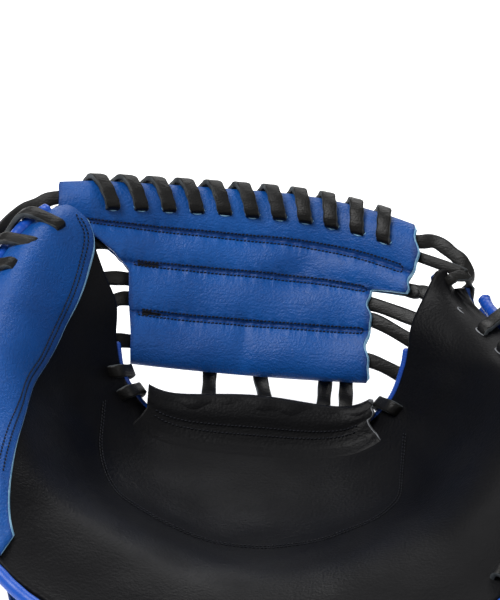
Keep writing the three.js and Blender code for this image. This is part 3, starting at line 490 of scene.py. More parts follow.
# %% Slab helper
def slab_rings(k_places, v_places, top, bottom, bulge=0.45, rounding=5):
    """One ring for each section: out over the top, round the rim, back underneath, round the notch."""
    rings, near = [], []
    turn = np.linspace(0, math.pi, rounding + 2)[1:-1]
    for i, k in enumerate(k_places):
        v = v_places[i] if np.ndim(v_places[0]) else v_places
        upper, lower = top(k, v), bottom(k, v)
        ring = [upper]
        for end, inside, sign in ((-1, -2, 1), (0, 1, -1)):
            high, low = (upper[end], lower[end]) if end == -1 else (lower[end], upper[end])
            middle, half = (high + low) / 2, (high - low) / 2
            out = unit(upper[end] - upper[inside])
            round_edge = [middle + half * math.cos(t) + out * np.linalg.norm(half) * 2 * bulge * math.sin(t) for t in turn]
            ring.append(np.array(round_edge))
            if end == -1:
                ring.append(lower[::-1])
        rings.append(np.concatenate(ring))
        width = np.minimum(v * square_span(k, 0), (1 - v) * square_span(k, 1))
        near.append(np.concatenate([width, np.zeros(rounding), width[::-1], np.zeros(rounding)]))
    return np.array(rings), np.array(near)


def even_v(k, count, margin=1.5):
    """Places from notch to rim, closer together at both edges."""
    t = np.linspace(0, 1, count)
    return mix(t, ease(t), 0.45)


# %% [markdown]
# ## The padded palm
# The pocket is the black heart of the mitt. It could be sculpted, but a mitt is symmetrical in its
# construction and its shape is already in the section table, so we only sample the table finely. Small
# ripples are added where the leather is pushed together, and the stitches come later.

# %% Palm
def ripples(points, spacing, height, seed):
    """A slow, repeatable unevenness of a surface, from three sine waves that cross."""
    angles = np.array([0.3, 1.4, 2.5]) + seed
    waves = [np.sin((points[..., 0] * np.cos(a) + points[..., 1] * np.sin(a)) * 2 * math.pi / spacing
                    + 1.7 * i + points[..., 2] / 19) for i, a in enumerate(angles)]
    return height * sum(waves) / 3


def soft_face(k, v):
    """The palm's face with the folds that use has pressed into it, fading out at the edges."""
    base = face_point(k, v)
    near = np.minimum(v * square_span(k, 0), (1 - v) * square_span(k, 1))
    height = ripples(base, 46, 0.5, 0.0) + ripples(base, 21, 0.22, 0.8)
    return base + normal_of(face_point, k, v) * (height * ease((near - 9) / 16))[..., None]


def palm():
    k_places = np.linspace(0, LAST, 225)
    rings, near = slab_rings(k_places, even_v(0, 56), soft_face, pad_back, bulge=0.42, rounding=5)
    points = rings.reshape(-1, 3)
    faces = outward(points, ring_faces(len(rings), rings.shape[1]))
    return finish_piece("palm_leather", points, faces, [BLACK], np.zeros(len(faces)),
                        replaces=["padded_palm"], edge_mm=near.ravel())


palm_piece = palm()
print("palm faces:", len(palm_piece.data.polygons))

# %% [markdown]
# ## The blue back
# Turned over, the mitt is blue: the back leather hugs the hand and leaves an opening for the wrist. It
# is made like the palm, as a thin slab, and the opening is cut out of it with a boolean, as the maker
# cuts the window out with a knife.

# %% Back shell with its wrist opening
def window_outline(steps=8, radius=26):
    """The window's outline in plan, open towards the heel."""
    half = MOUTH_WIDTH / 2
    turn = np.linspace(0, math.pi / 2, steps)
    right = [(half - radius + radius * math.cos(t), WINDOW_START - radius + radius * math.sin(t)) for t in turn]
    left = [(-x, y) for x, y in reversed(right)]
    return [(half, -1.3 * HEEL_REACH), *right, *left, (-half, -1.3 * HEEL_REACH)]


def back_shell():
    k_places = np.linspace(0, LAST, 193)
    rings, near = slab_rings(k_places, even_v(0, 48), shell_inner, back_point, bulge=0.3, rounding=3)
    points = rings.reshape(-1, 3)
    faces = outward(points, ring_faces(len(rings), rings.shape[1]))
    shell = finish_piece("back_leather", points, faces, [BLUE], np.zeros(len(faces)),
                         replaces=["back_shell"], edge_mm=near.ravel())
    outline = window_outline()
    loop = [(x, y, z) for z in (-60, 200) for x, y in outline]
    cutter_faces = outward(loop, ring_faces(2, len(outline)))
    mesh = bpy.data.meshes.new("window_cutter")
    mesh.from_pydata((np.array(loop) * MM).tolist(), [], cutter_faces)
    cutter = bpy.data.objects.new("window_cutter", mesh)
    bpy.context.scene.collection.objects.link(cutter)
    boolean = shell.modifiers.new("window", "BOOLEAN")
    boolean.object, boolean.operation, boolean.solver = cutter, "DIFFERENCE", "EXACT"
    apply_modifiers(shell)
    bpy.data.objects.remove(cutter)
    return shell


def apply_modifiers(piece):
    """Bakes the modifiers of a piece into its mesh, so nothing is left to work out later."""
    evaluated = piece.evaluated_get(bpy.context.evaluated_depsgraph_get())
    mesh = bpy.data.meshes.new_from_object(evaluated)
    piece.modifiers.clear()
    piece.data = mesh


shell_piece = back_shell()
print("back faces:", len(shell_piece.data.polygons))

# %% [markdown]
# ## The thumb panel
# On the thumb side a blue panel is sewn over the black palm. Its inner edge runs in a wave from the tip
# to the heel, and there the pale cut edge of the leather shows. The panel swells a little over the
# padding, so its height above the palm grows away from the edge.

# %% Thumb panel
PANEL_EDGE = np.array([(0.05, 0.02), (0.5, 0.02), (1, 0.05), (2, 0.19), (3, 0.3), (4, 0.4), (5, 0.64),
                       (5.8, 0.93)])


def panel_from(k):
    """Where the panel's inner edge crosses section k."""
    rows = np.interp(k, PANEL_EDGE[:, 0], np.arange(len(PANEL_EDGE)))
    return smooth_column(PANEL_EDGE[:, 1], rows)


def panel_point(k, t, height):
    """A place on the panel: t goes from its inner edge (0) to the rim (1)."""
    v = mix(panel_from(k), 1, t)
    inset = (v - panel_from(k)) * square_span(k, 0)
    swell = 0.9 * ease(inset / 9) + ripples(face_point(k, v), 27, 0.35, 0.4) * ease(inset / 6)
    return soft_face(k, v) + normal_of(face_point, k, v) * (height + swell)[..., None]


def thumb_panel():
    k_places = np.linspace(0.06, 5.78, 120)
    t_places = np.linspace(0, 1, 30) ** 1.15
    rings, near = [], []
    rounding = 4
    for k in k_places:
        top, low = (panel_point(k, t_places, h) for h in (PANEL + 0.5, 0.45))
        edge_out = unit(top[0] - top[1]) * 0.3
        low[0] = low[0] + edge_out / 0.3 * 2.2
        middle, half = (top[0] + low[0]) / 2, (low[0] - top[0]) / 2
        turn = np.linspace(0, math.pi, rounding + 2)[1:-1]
        cut = [middle - half * math.cos(s) + edge_out * math.sin(s) for s in turn[::-1]]
        rings.append(np.concatenate([top, low[::-1], cut]))
        width = (mix(panel_from(k), 1, t_places) - panel_from(k)) * square_span(k, 0)
        near.append(np.concatenate([width, width[::-1], np.zeros(rounding)]))
    points = np.array(rings).reshape(-1, 3)
    count = len(rings[0])
    faces = ring_faces(len(rings), count)
    columns = np.tile(np.arange(count), len(rings) - 1)
    slots = np.concatenate([(columns >= 2 * len(t_places) - 1).astype(int), [1, 1]])
    return finish_piece("thumb_panel_leather", points, outward(points, faces), [BLUE, BLUE_EDGE], slots,
                        replaces=["thumb_panel"], edge_mm=np.concatenate(near))


panel_piece = thumb_panel()
print("panel faces:", len(panel_piece.data.polygons))

# %% [markdown]
# ## Frames along the edges
# The lacing, the welts and the notch cord all follow an edge of the mitt. At each place on the edge we
# want three directions: along it, outwards and upwards. A lace is then drawn once, in those directions,
# and repeated along the edge. Near the finger tip the rim stands up, so the frame leans there as well.

# %% Edge frames
def edge_frame(k, v):
    here = face_point(k, v)
    turn = min(k, 12.75) if v == 1 else k
    inward = face_point(turn, rim_v(turn, FLANGE) if v == 1 else notch_v(turn, FLANGE))
    along = unit(face_point(min(LAST, turn + 0.02), v) - face_point(max(0, turn - 0.02), v))
    out = face_point(turn, v) - inward
    out = unit(out - along * dot(out, along))
    up = np.cross(out, along)
    up = -up if up[2] < 0 else up
    middle = here + layers_at(k, v)[1] * (EDGE_PAD + GAP)
    lead = max(0, dot(here - middle, out), dot(back_point(k, v) - middle, out))
    middle = middle + out * lead
    if v == 1:
        lean = math.radians(40) * ease((k - 11.3) / 1.7)
        out, up = out * math.cos(lean) + up * math.sin(lean), up * math.cos(lean) - out * math.sin(lean)
        middle = middle + out * 0.4 * ease((k - 11.3) / 1.7)
    return {"origin": middle, "along": along, "out": out, "up": up}


def in_frame(f, out, up, shift=0):
    return f["origin"] + f["out"] * out + f["up"] * up + f["along"] * shift


def even_sections(start, end, pitch, v):
    """Section numbers spaced evenly along an edge."""
    fine = np.linspace(start, end, 401)
    lengths = np.concatenate([[0], np.cumsum(np.linalg.norm(np.diff(face_point(fine, v), axis=0), axis=-1))])
    count = max(2, round(lengths[-1] / pitch) + 1)
    return np.interp(np.linspace(0, lengths[-1], count), lengths, fine)


THUMB_TURNS = even_sections(0.85, 5.55, RIM_PITCH, 1.0)
FINGER_TURNS = even_sections(8.45, 12.9, RIM_PITCH, 1.0)
print("lace turns:", len(THUMB_TURNS), "and", len(FINGER_TURNS))

# %% [markdown]
# ## Welts and notch cords
# Piping is a strip of thin leather folded round a cord. Two rows of it run round the rim, one for the
# palm and one for the back, and a thin one edges the notch. Each is a round tube that the lace squeezes
# slightly at every turn.

# %% Piping
WELT_OUT, WELT_UP = WELT_RADIUS + 0.7, WELT_RADIUS + 0.15


def tube(name, centres, across, radii, sides, material, replaces=()):
    profile = [(math.cos(a), math.sin(a)) for a in np.linspace(0, 2 * math.pi, sides, endpoint=False)]
    rings = sweep(centres, across, profile)
    middle = np.asarray(centres)[:, None, :]
    rings = middle + (rings - middle) * np.asarray(radii)[:, None, None]
    ends = [middle[0] + (rings[0] - middle[0]) * 0.55, middle[-1] + (rings[-1] - middle[-1]) * 0.55]
    step = [unit(middle[0] - middle[1]) * 0.5 * radii[0], unit(middle[-1] - middle[-2]) * 0.5 * radii[-1]]
    rings = np.concatenate([[ends[0] + step[0]], rings, [ends[1] + step[1]]])
    points = rings.reshape(-1, 3)
    faces = outward(points, ring_faces(len(rings), sides))
    return finish_piece(name, points, faces, [material], np.zeros(len(faces)), replaces=replaces)


def edge_tube(name, start, end, v, out, up, radius, pinches, node_name, steps=260):
    k_places = np.linspace(start, end, steps)
    frames = [edge_frame(k, v) for k in k_places]
    centres = np.array([in_frame(f, out, up) for f in frames])
    across = np.array([f["out"] for f in frames])
    radii = np.full(steps, float(radius))
    for place in pinches:
        gap_mm = np.linalg.norm(centres - centres[np.argmin(abs(k_places - place))], axis=1)
        radii -= 0.11 * radius * np.exp(-(gap_mm / 4.2) ** 2)
    radii += radius * 0.025 * np.sin(np.arange(steps) * 1.3)
    return tube(name, centres, across, radii, 16, PIPING, [node_name])


all_turns = [*THUMB_TURNS, *FINGER_TURNS]
edge_tube("welt_palm", 0.55, 13.2, 1.0, WELT_OUT, WELT_UP, WELT_RADIUS, all_turns, "palm_welt", 520)
edge_tube("welt_back_thumb", 0.55, 5.7, 1.0, WELT_OUT, -WELT_UP, WELT_RADIUS, THUMB_TURNS, "back_welt_thumb")
edge_tube("welt_back_fingers", 8.3, 13.2, 1.0, WELT_OUT, -WELT_UP, WELT_RADIUS, FINGER_TURNS, "back_welt_fingers")
NOTCH_TIES = {"thumb": (4.55, 5.05, 5.5), "fingers": (9.1, 8.62)}
CORD_UP = 2.6
for side, start, end in (("thumb", 4.0, 5.6), ("fingers", 8.5, 10.4)):
    edge_tube("piping_notch_" + side, start, end, 0.0, CORD_RADIUS + 1, CORD_UP, CORD_RADIUS, NOTCH_TIES[side],
              "notch_cord_" + side, 140)
print("welts made")

# %% [markdown]
# ## Laces
# Lace is flat rawhide, dyed right through and dark and waxy on its face, with rough grey sides where it
# was cut. We sweep a flat profile with rounded corners along a smooth path. The faces on its two
# sides get the cut-edge material, which is what makes each turn readable in the photograph.

# %% Lace helper
LACE_PROFILE = ((0.5, 0.2), (0.46, 0.42), (0.36, 0.5), (0, 0.54), (-0.36, 0.5), (-0.46, 0.42), (-0.5, 0.2),
                (-0.5, -0.2), (-0.46, -0.42), (-0.36, -0.5), (0, -0.5), (0.36, -0.5), (0.46, -0.42), (0.5, -0.2))
SIDE_FACES = (5, 6, 7, 12, 13, 0)


def lace(name, anchors, across, width=LACE_WIDTH, thick=LACE_THICK, steps=7, replaces=None, seed=0):
    """A flat lace through the anchors, with across giving the direction of its width at each."""
    centres, wide = spline(anchors, steps), spline(across, steps)
    rings = sweep(centres, wide, [(a * width, b * thick) for a, b in LACE_PROFILE])
    middle = centres[:, None, :]
    wobble = 1 + 0.045 * np.sin(np.arange(len(centres)) * 0.9 + seed * 2.1)[:, None, None]
    rings = middle + (rings - middle) * wobble
    points = rings.reshape(-1, 3)
    count = len(LACE_PROFILE)
    faces = ring_faces(len(rings), count)
    slots = np.isin(np.tile(np.arange(count), len(rings) - 1), SIDE_FACES).astype(int)
    slots = np.concatenate([slots, [1, 1]])
    return finish_piece(name, points, outward(points, faces), [LACE, LACE_EDGE], slots,
                        replaces=[replaces or name])


def wound_lace(frames, turn):
    """Anchors of a lace wound round an edge. Each row of turn is out, up and the share of the pitch gained."""
    anchors, across = [], []
    for i, f in enumerate(frames):
        last = i == len(frames) - 1
        back, through = turn[-1], turn[0]
        depth = back[1] + (LACE_WIDTH if last else 0)
        anchors += [in_frame(f, back[0], back[1]), in_frame(f, through[0], depth if last else through[1])]
        across += [f["along"]] * 2
        if last:
            break
        for out, up, gain in turn[1:-1]:
            anchors.append(mix(in_frame(f, out, up), in_frame(frames[i + 1], out, up), gain))
            across.append(mix(f["along"], frames[i + 1]["along"], gain))
    return anchors, across


# %% Rim laces
REACH = LACE_THICK / 2 + GAP
ROUND = WELT_RADIUS + REACH + 0.35


def welt_loop(rise):
    """The lace's turn over the palm's edge, round both welts and back under the back's edge."""
    face_level = EDGE_PAD + GAP + rise + REACH
    corner = 0.5 * ROUND
    return [(-HOLE_INSET, face_level, 0), (-2.5, face_level + 0.9, 0.12),
            (WELT_OUT + corner * 0.6, max(WELT_UP + ROUND, face_level), 0.27),
            (WELT_OUT + ROUND, WELT_UP + corner, 0.4), (WELT_OUT + ROUND, -WELT_UP - corner, 0.6),
            (WELT_OUT + corner, -WELT_UP - ROUND, 0.73), (-2, -SHELL - GAP - REACH - 2.2, 0.88),
            (-HOLE_INSET, -SHELL - GAP - REACH - 1, 1)]


lace("lace_rim_thumb", *wound_lace([edge_frame(k, 1) for k in THUMB_TURNS], welt_loop(PANEL + 1.2)),
     replaces="rim_lace_thumb", seed=1)
lace("lace_rim_fingers", *wound_lace([edge_frame(k, 1) for k in FINGER_TURNS], welt_loop(0.2)),
     replaces="rim_lace_fingers", seed=2)
for i, k in enumerate(FINGER_TURNS[3:-1]):
    turn = np.linspace(0.2, math.pi - 0.2, 9)
    places = [(k + 0.11 * math.cos(t) * 0.9, rim_v(k, 8.6 + 1.6 * math.sin(t))) for t in turn]
    ring = [soft_face(a, b) + normal_of(face_point, a, b) * 0.1 for a, b in places]
    tube("palm_hole_%d" % (i + 1), ring, np.tile((0.0, 0, 1), (9, 1)), 0.1 + 0.25 * np.sin(turn), 8, BLACK_EDGE)
print("rim laced")

# %% Ties through the notch edges
NOTCH_REACH = 2 * CORD_RADIUS + 1 + REACH
NOTCH_LOOP = [(-7, EDGE_PAD + REACH + 1.2, 0), (CORD_RADIUS + 1, CORD_UP + CORD_RADIUS + REACH + 0.5, 0.3),
              (NOTCH_REACH + 0.3, CORD_UP + 0.8, 0.45), (NOTCH_REACH, -1.6, 0.55),
              (CORD_RADIUS, -EDGE_PAD - REACH, 0.75), (-7, -SHELL - GAP - REACH - 1.2, 1)]
for side in NOTCH_TIES:
    frames = [edge_frame(k, 0) for k in NOTCH_TIES[side]]
    lace("lace_notch_" + side, *wound_lace(frames, NOTCH_LOOP), width=5.6, thick=2.4, replaces="notch_tie_" + side)
print("notch tied")

# %% [markdown]
# ## The web
# The web is one piece of blue leather folded over and sewn through in double rows, which leaves four
# tunnels for the laces. Each tunnel is a soft tube, so the thickness swells between the seams and is
# pinched at them. Along the seams the thread pulls the leather into short puckers.

# %% Web shape
# height, left and right ends as shares of the notch width
WEB_OUTLINE = np.array([
    (0, -0.38, 0.313), (0.06, -0.385, 0.31), (0.235, -0.39, 0.307), (0.31, -0.395, 0.307), (0.5, -0.41, 0.304),
    (0.538, -0.43, 0.305), (0.548, -0.44, 0.31), (0.575, -0.452, 0.403), (0.685, -0.54, 0.42),
    (0.731, -0.6, 0.425), (0.767, -0.625, 0.43), (0.97, -0.633, 0.427), (1, -0.63, 0.425)])
SEAMS = (0.275, 0.538, 0.731)
LOOPS = ((0, 0.275, 0.9), (0.275, 0.538, 0.86), (0.538, 0.731, 0.82), (0.731, 1.0, 0.97))
WEB_HALF = NOTCH_WIDTH * 0.533
WEB_UP = np.array([0, math.cos(WEB_LEAN), math.sin(WEB_LEAN)])
WEB_OUT = np.array([0, -WEB_UP[2], WEB_UP[1]])


def web_point(x, height, offset):
    """A place on the web: x across, height up its slope, offset towards the pocket."""
    x, height, offset = (np.asarray(a, float)[..., None] for a in np.broadcast_arrays(x, height, offset))
    side, share = x / WEB_HALF, height / WEB_HEIGHT
    fall = side ** 2 * np.where(x < 0, WEB_DROP["thumb"] * ease((share - 0.7) / 0.3),
                                WEB_DROP["fingers"] * ease((share - 0.27) / 0.46))
    bow = WEB_BOW * np.maximum(0, 1 - side ** 2)
    base = np.array([0, *WEB_BASE]) + np.array([1, 0, 0]) * x
    return base + WEB_UP * (height - fall) + WEB_OUT * (offset - bow)


def web_fullness(share):
    """Half the web's thickness at a height, as a share of the fullest."""
    full = np.zeros_like(share)
    for low, high, most in LOOPS:
        u = np.clip((share - low) / (high - low), 0, 1)
        pinched_low, pinched_high = (0.4 if place in SEAMS else 0 for place in (low, high))
        floor = mix(pinched_low, pinched_high, u)
        swell = floor + (most - floor) * np.clip(np.sin(math.pi * u), 0, 1) ** 0.5
        full = np.where((share >= low) & (share <= high), swell, full)
    return full


def web_ends(height):
    share = height / WEB_HEIGHT
    return tuple(np.interp(share, WEB_OUTLINE[:, 0], WEB_OUTLINE[:, c]) * NOTCH_WIDTH for c in (1, 2))


def web_puckers(x, height):
    """Short creases square to the seams, a slow dent in the middle, and a wavy lower fold."""
    close = sum(np.exp(-((height / WEB_HEIGHT - s) * WEB_HEIGHT / 3.4) ** 2) for s in SEAMS)
    creases = np.sin(x * 1.9 + np.sin(x * 0.43) * 2.2) * 0.2 + np.sin(x * 0.83 + height * 0.25) * 0.26
    dent = -1.5 * np.exp(-((x - 14 - (height - 52) * 0.7) / 9) ** 2 - ((height - 47) / 8) ** 2)
    dent = dent - 0.9 * np.exp(-((x + 8) / 3.2) ** 2 - ((height - 12) / 14) ** 2)
    slow = 0.7 * np.sin(x / 13 + height / 17) + 0.36 * np.sin(x / 5.3 - height / 9 + 1)
    return creases * close + dent + slow


def web():
    columns, rows = 190, 150
    shares = np.unique(np.concatenate([np.linspace(0, 1, rows), np.array([0.004, 0.012, 0.024, 0.976, 0.988, 0.996])]))
    across = np.linspace(0, 1, columns)
    heights = shares * WEB_HEIGHT
    left, right = web_ends(heights)
    rings = []
    edge = []
    for u in across:
        x = mix(left, right, u)
        right_wave = (0.9 * np.sin(heights / 3.4) + 0.4 * np.sin(heights / 1.6 + 1)) * ease((u - 0.93) / 0.07)
        x = x + right_wave + 0.4 * np.sin(heights / 5.3) * ease((0.06 - u) / 0.06)
        cut_x = x + (1.1 if u == across[-1] else 0)
        half = web_fullness(shares) * WEB_FULL
        bump = web_puckers(x, heights) * np.clip(half / 2, 0, 1)
        inner_half = np.maximum(half - WEB_WALL, 0.02)
        front = web_point(x, heights, half + bump)
        back = web_point(x, heights, -half + bump * 0.4)
        inner_front = web_point(cut_x, np.clip(heights, WEB_WALL, WEB_HEIGHT - WEB_WALL), inner_half + bump * 0.9)
        inner_back = web_point(cut_x, np.clip(heights, WEB_WALL, WEB_HEIGHT - WEB_WALL), -inner_half + bump * 0.5)
        rings.append((np.concatenate([front, back[::-1][1:-1]]), np.concatenate([inner_front, inner_back[::-1][1:-1]])))
        # distance to the nearest seam or cut end, which darkens the blue: painted shade along the seams, wear at the
        # cut ends
        nearest = np.min([abs(heights - s * WEB_HEIGHT) for s in SEAMS], axis=0)
        nearest = np.minimum(nearest, np.maximum(np.minimum(x - left, right - x), 0))
        edge.append(np.concatenate([nearest, nearest[::-1][1:-1]]))
    count = len(rings[0][0])
    points = np.concatenate([np.concatenate([r[0] for r in rings]), np.concatenate([r[1] for r in rings])])
    total = columns * count
    outer = ring_faces(columns, count, cap=False)
    inner = [tuple(reversed(f)) for f in ring_faces(columns, count, cap=False, start=total)]
    rims = []
    for base in (0, (columns - 1) * count):
        for j in range(count):
            n = (j + 1) % count
            quad = (base + j, base + n, total + base + n, total + base + j)
            rims.append(quad if base == 0 else tuple(reversed(quad)))
    faces = outer + inner + rims
    slots = [0] * len(outer) + [2] * len(inner) + [0] * count + [1] * count
    edge = np.concatenate([np.concatenate(edge), np.full(total, 9.0)])
    return finish_piece("web_leather", points, outward(points, faces), [BLUE, BLUE_EDGE, LINING], slots,
                        replaces=["web_panel"], edge_mm=edge)


web_piece = web()
print("web faces:", len(web_piece.data.polygons))

# %% The lace over the web's top edge
BAND_INSET = 12.3


def band_frame(x):
    along = unit(web_point(x + 1, WEB_HEIGHT, 0) - web_point(x - 1, WEB_HEIGHT, 0))
    out = unit(WEB_UP - along * dot(WEB_UP, along))
    up = np.cross(out, along)
    up = -up if dot(up, WEB_OUT) < 0 else up
    return {"origin": web_point(x, WEB_HEIGHT, 0), "along": along, "out": out, "up": up}


BAND_LOOP = [(-BAND_INSET, WEB_FULL * 0.86, 0), (-BAND_INSET + 1.6, WEB_FULL * 0.97 + REACH + 0.1, 0.06),
             (-5, WEB_FULL * 0.93 + REACH + 0.1, 0.2), (0.2, WEB_FULL * 0.78, 0.36), (0.5 + REACH, 0, 0.5),
             (0.2, -WEB_FULL * 0.8, 0.64), (-5, -WEB_FULL - REACH, 0.8),
             (-BAND_INSET, -WEB_FULL * 0.94 - REACH - 0.5, 1)]
band_left, band_right = web_ends(WEB_HEIGHT * 0.9)
BAND_TURNS = round((band_right - band_left - 18) / BAND_PITCH)
band_frames = [band_frame(mix(band_right - 9, band_left + 9, i / BAND_TURNS)) for i in range(BAND_TURNS + 1)]
lace("lace_web_top", *wound_lace(band_frames, BAND_LOOP), replaces="web_top_lace", seed=3)


def on_web(points):
    """The same places, laid on the web's front face."""
    x = points[:, 0]
    rise = (points - np.array([0, *WEB_BASE]) - x[:, None] * (1, 0, 0)) @ WEB_UP
    height = rise
    for _ in range(4):
        height = rise + height - (web_point(x, height, 0) - np.array([0, *WEB_BASE]) - x[:, None] * (1, 0, 0)) @ WEB_UP
    half = web_fullness(height / WEB_HEIGHT) * WEB_FULL
    return web_point(x, height, half + web_puckers(x, height) * np.clip(half / 2, 0, 1) + 0.1)


for i, f in enumerate(band_frames[:-1]):
    turn = np.linspace(0.1, math.pi - 0.1, 11)
    ring = [in_frame(f, 0.9 - BAND_INSET - 2.3 * math.sin(t), WEB_FULL * 0.9, LACE_WIDTH * 0.55 * math.cos(t)) for t in turn]
    tube("hole_edge_%d" % (i + 1), on_web(np.array(ring)), np.tile(WEB_OUT, (11, 1)), 0.1 + 0.24 * np.sin(turn), 8,
         BLUE_EDGE)
print("band turns:", BAND_TURNS + 1)

# %% Laces from the web to the thumb and the fingers
# name, height in the web, section on the thumb and on the fingers
CROSSINGS = (
    ("web_lace_2", 0.625, 1.5, 12.3),
    ("web_lace_3", 0.45, 2.2, 11.4),
    ("web_lace_4", 0.345, 2.95, 10.6),
    ("web_lace_5", 0.12, 3.9, 9.65),
)
FACE_LEVEL = EDGE_PAD + GAP + REACH
BACK_LEVEL = -SHELL - GAP - REACH - 0.6


def cross_end(k):
    """How a lace ends at the notch edge: it is tucked behind the palm and the back."""
    f = edge_frame(k, 0)
    along = -f["along"] if f["along"][2] < 0 else f["along"]
    route = [(2 * CORD_RADIUS + 2, BACK_LEVEL - 0.8), (-5, BACK_LEVEL)]
    return [in_frame(f, out, up) for out, up in route], [along] * len(route)


def crossing(name, height, thumb, fingers):
    rise = height * WEB_HEIGHT
    left, right = web_ends(rise)
    inside = [web_point(mix(left - 2.5, right + 2.5, i / 8), rise, 0) for i in range(9)]
    (a, a_wide), (b, b_wide) = cross_end(thumb), cross_end(fingers)
    anchors = [*a[::-1], *inside, *b]
    across = [*a_wide, *[WEB_UP] * len(inside), *b_wide]
    lace("lace_" + name, anchors, across, replaces=name, seed=height * 10)


for row in CROSSINGS:
    crossing(*row)

# %% The top lace and the ties to the two tips
TIP_ROUTE_LEFT = ((-0.87, 0.64, 0.74), (-0.9, 0.76, 0.78), (-0.925, 0.94, 0.82), (-0.87, 1.08, 0.87), (-0.8, 1.14, 0.9))
TIP_ROUTE_RIGHT = ((0.56, 1.16, 0.865), (0.62, 1.105, 0.85), (0.665, 1.05, 0.83), (0.685, 1.0, 0.775), (0.67, 0.9, 0.69))
share_point = lambda row: np.array([row[0] * MITT_WIDTH / 2, row[1] * TIP_REACH, row[2] * RIM_HEIGHT])
upper_left, upper_right = band_left - 1, band_right + 1
upper_frames = [band_frame(mix(upper_left, upper_right, i / 8)) for i in range(9)]
anchors = [share_point(r) for r in TIP_ROUTE_LEFT] + [in_frame(f, -7.2, 0) for f in upper_frames]
anchors += [share_point(r) for r in TIP_ROUTE_RIGHT]
across = [WEB_UP] * 5 + [f["out"] for f in upper_frames] + [WEB_UP] * 5
lace("lace_web_1", anchors, across, replaces="web_lace_1", seed=5)

# name, web end, where it starts, how far below the web's top edge, its elbow and the section it ties to
TIP_TIES = (("tip_lace_thumb", upper_left, 0.935, 13.4, 7, 0.82), ("tip_lace_fingers", upper_right, 0.93, 13, 7, 13.62))
for name, end, start, inset, elbow, section in TIP_TIES:
    inner, mouth = band_frame(end * start), band_frame(end)
    route = [in_frame(inner, -inset, 0), in_frame(mouth, -inset, 0)]
    wide = [inner["out"], mouth["out"]]
    if end < 0:
        tied, tied_wide = cross_end(section)
        route += [in_frame(mouth, -inset - elbow, 0, -4), *tied]
        wide += [mouth["out"] - mouth["along"], *tied_wide]
    else:
        tip = edge_frame(section, 0)
        places = ((FACE_LEVEL + 2, elbow), (FACE_LEVEL + 0.6, 2), (FACE_LEVEL - 1.5, -0.3), (BACK_LEVEL + 1, 0))
        route += [in_frame(tip, -7, up, shift) for up, shift in places]
        wide += [tip["out"]] * len(places)
    lace("lace_" + name, route, wide, width=4.8, replaces=name, seed=section)
print("crossing laces made")

# %% [markdown]
# ## The crotch roll and the upright laces
# Below the web the palm leather is rolled into a soft bead. Four laces climb from behind it to the
# back of the web and keep the two together. The roll is a sleeve like the web, open at its right end.

# %% Crotch roll
ROLL_HEIGHT, ROLL_HALF = 15, 4.6
ROLL_ENDS = (-0.64, 0.66)
HALF_NOTCH = NOTCH_WIDTH / 2
notch_sections = np.linspace(4.8, 9.2, 441)
notch_x = face_point(notch_sections, 0.0)[:, 0]
ROLL_UP = unit(mix(WEB_UP, np.array([0, 0, 1.0]), 0.25))
ROLL_OUT = np.array([0, -ROLL_UP[2], ROLL_UP[1]])


def roll_seat(x):
    return face_point(np.interp(x, notch_x, notch_sections), 0.0) + ROLL_UP


def roll_top(x):
    return ROLL_HEIGHT + 1.6 - 6 * (x / (0.65 * HALF_NOTCH)) ** 2 + 0.4 * np.sin(x / 15 + 2)


def frayed(u, t):
    """How far the cut right end stands out of line, at a place t round the roll."""
    return (0.8 * np.sin(t * 4) + 0.5 * np.sin(t * 9 + 1)) * ease((u - 0.92) / 0.08)


def roll():
    """A sleeve with an oval section whose lower front edge lies on the palm."""
    outer, inner, count = [], [], 36
    turn = np.linspace(0, 2 * math.pi, count, endpoint=False)
    for u in np.linspace(0, 1, 120):
        x = mix(*ROLL_ENDS, u) * HALF_NOTCH
        seat = roll_seat(x)
        wave = 0.35 * np.sin(x / 6.1) + 0.22 * np.sin(x / 2.3 + 1)
        top = roll_top(x)
        shape = []
        for t in turn:
            up = top * (0.5 - 0.5 * math.cos(t))
            full = ROLL_HALF * math.sin(t) * mix(0.75, 1.0, up / top)
            shape.append(seat + ROLL_UP * up + ROLL_OUT * (full + wave * abs(math.sin(t))) + (frayed(u, t), 0, 0))
        shape = np.array(shape)
        middle = shape.mean(axis=0)
        reach = np.linalg.norm(shape - middle, axis=1, keepdims=True)
        cut = 1.2 if u == 1 else 0
        outer.append(shape)
        inner.append(middle + (shape - middle) * np.maximum(reach - 2.2, 0.6) / reach + (cut, 0, 0))
    points = np.concatenate([*outer, *inner])
    total = len(outer) * count
    skin = ring_faces(len(outer), count, cap=False)
    inside = [tuple(reversed(f)) for f in ring_faces(len(outer), count, cap=False, start=total)]
    rims = []
    for base in (0, total - count):
        for j in range(count):
            n = (j + 1) % count
            quad = (base + j, base + n, total + base + n, total + base + j)
            rims.append(quad if base == 0 else tuple(reversed(quad)))
    faces = outward(points, skin + inside + rims)
    slots = [0] * (len(skin) + len(inside) + count) + [1] * count
    return finish_piece("crotch_roll_leather", points, faces, [BLACK, BLACK_EDGE], slots,
                        replaces=["crotch_roll"])


roll_piece = roll()

# %% The fold from the roll to the palm
def fold_line(x):
    """The fold's section at x: down the front of the roll, over the notch edge and out on the palm."""
    seat, k = roll_seat(x), np.interp(x, notch_x, notch_sections)
    share = roll_top(x) / ROLL_HEIGHT
    front = [seat + ROLL_UP * up * share + ROLL_OUT * out for up, out in
             ((12.2, 3.1), (9.5, 4.2), (6.5, 4.9), (3.2, 5.0), (0.4, 5.3))]
    lying = []
    for inset, lift in ((7.2, 1.4), (9.5, 0.7), (12.5, 0.2), (15, -0.6)):
        v = notch_v(k, inset)
        lying.append(soft_face(k, v) + normal_of(face_point, k, v) * lift)
    return spline(front + lying, 5)


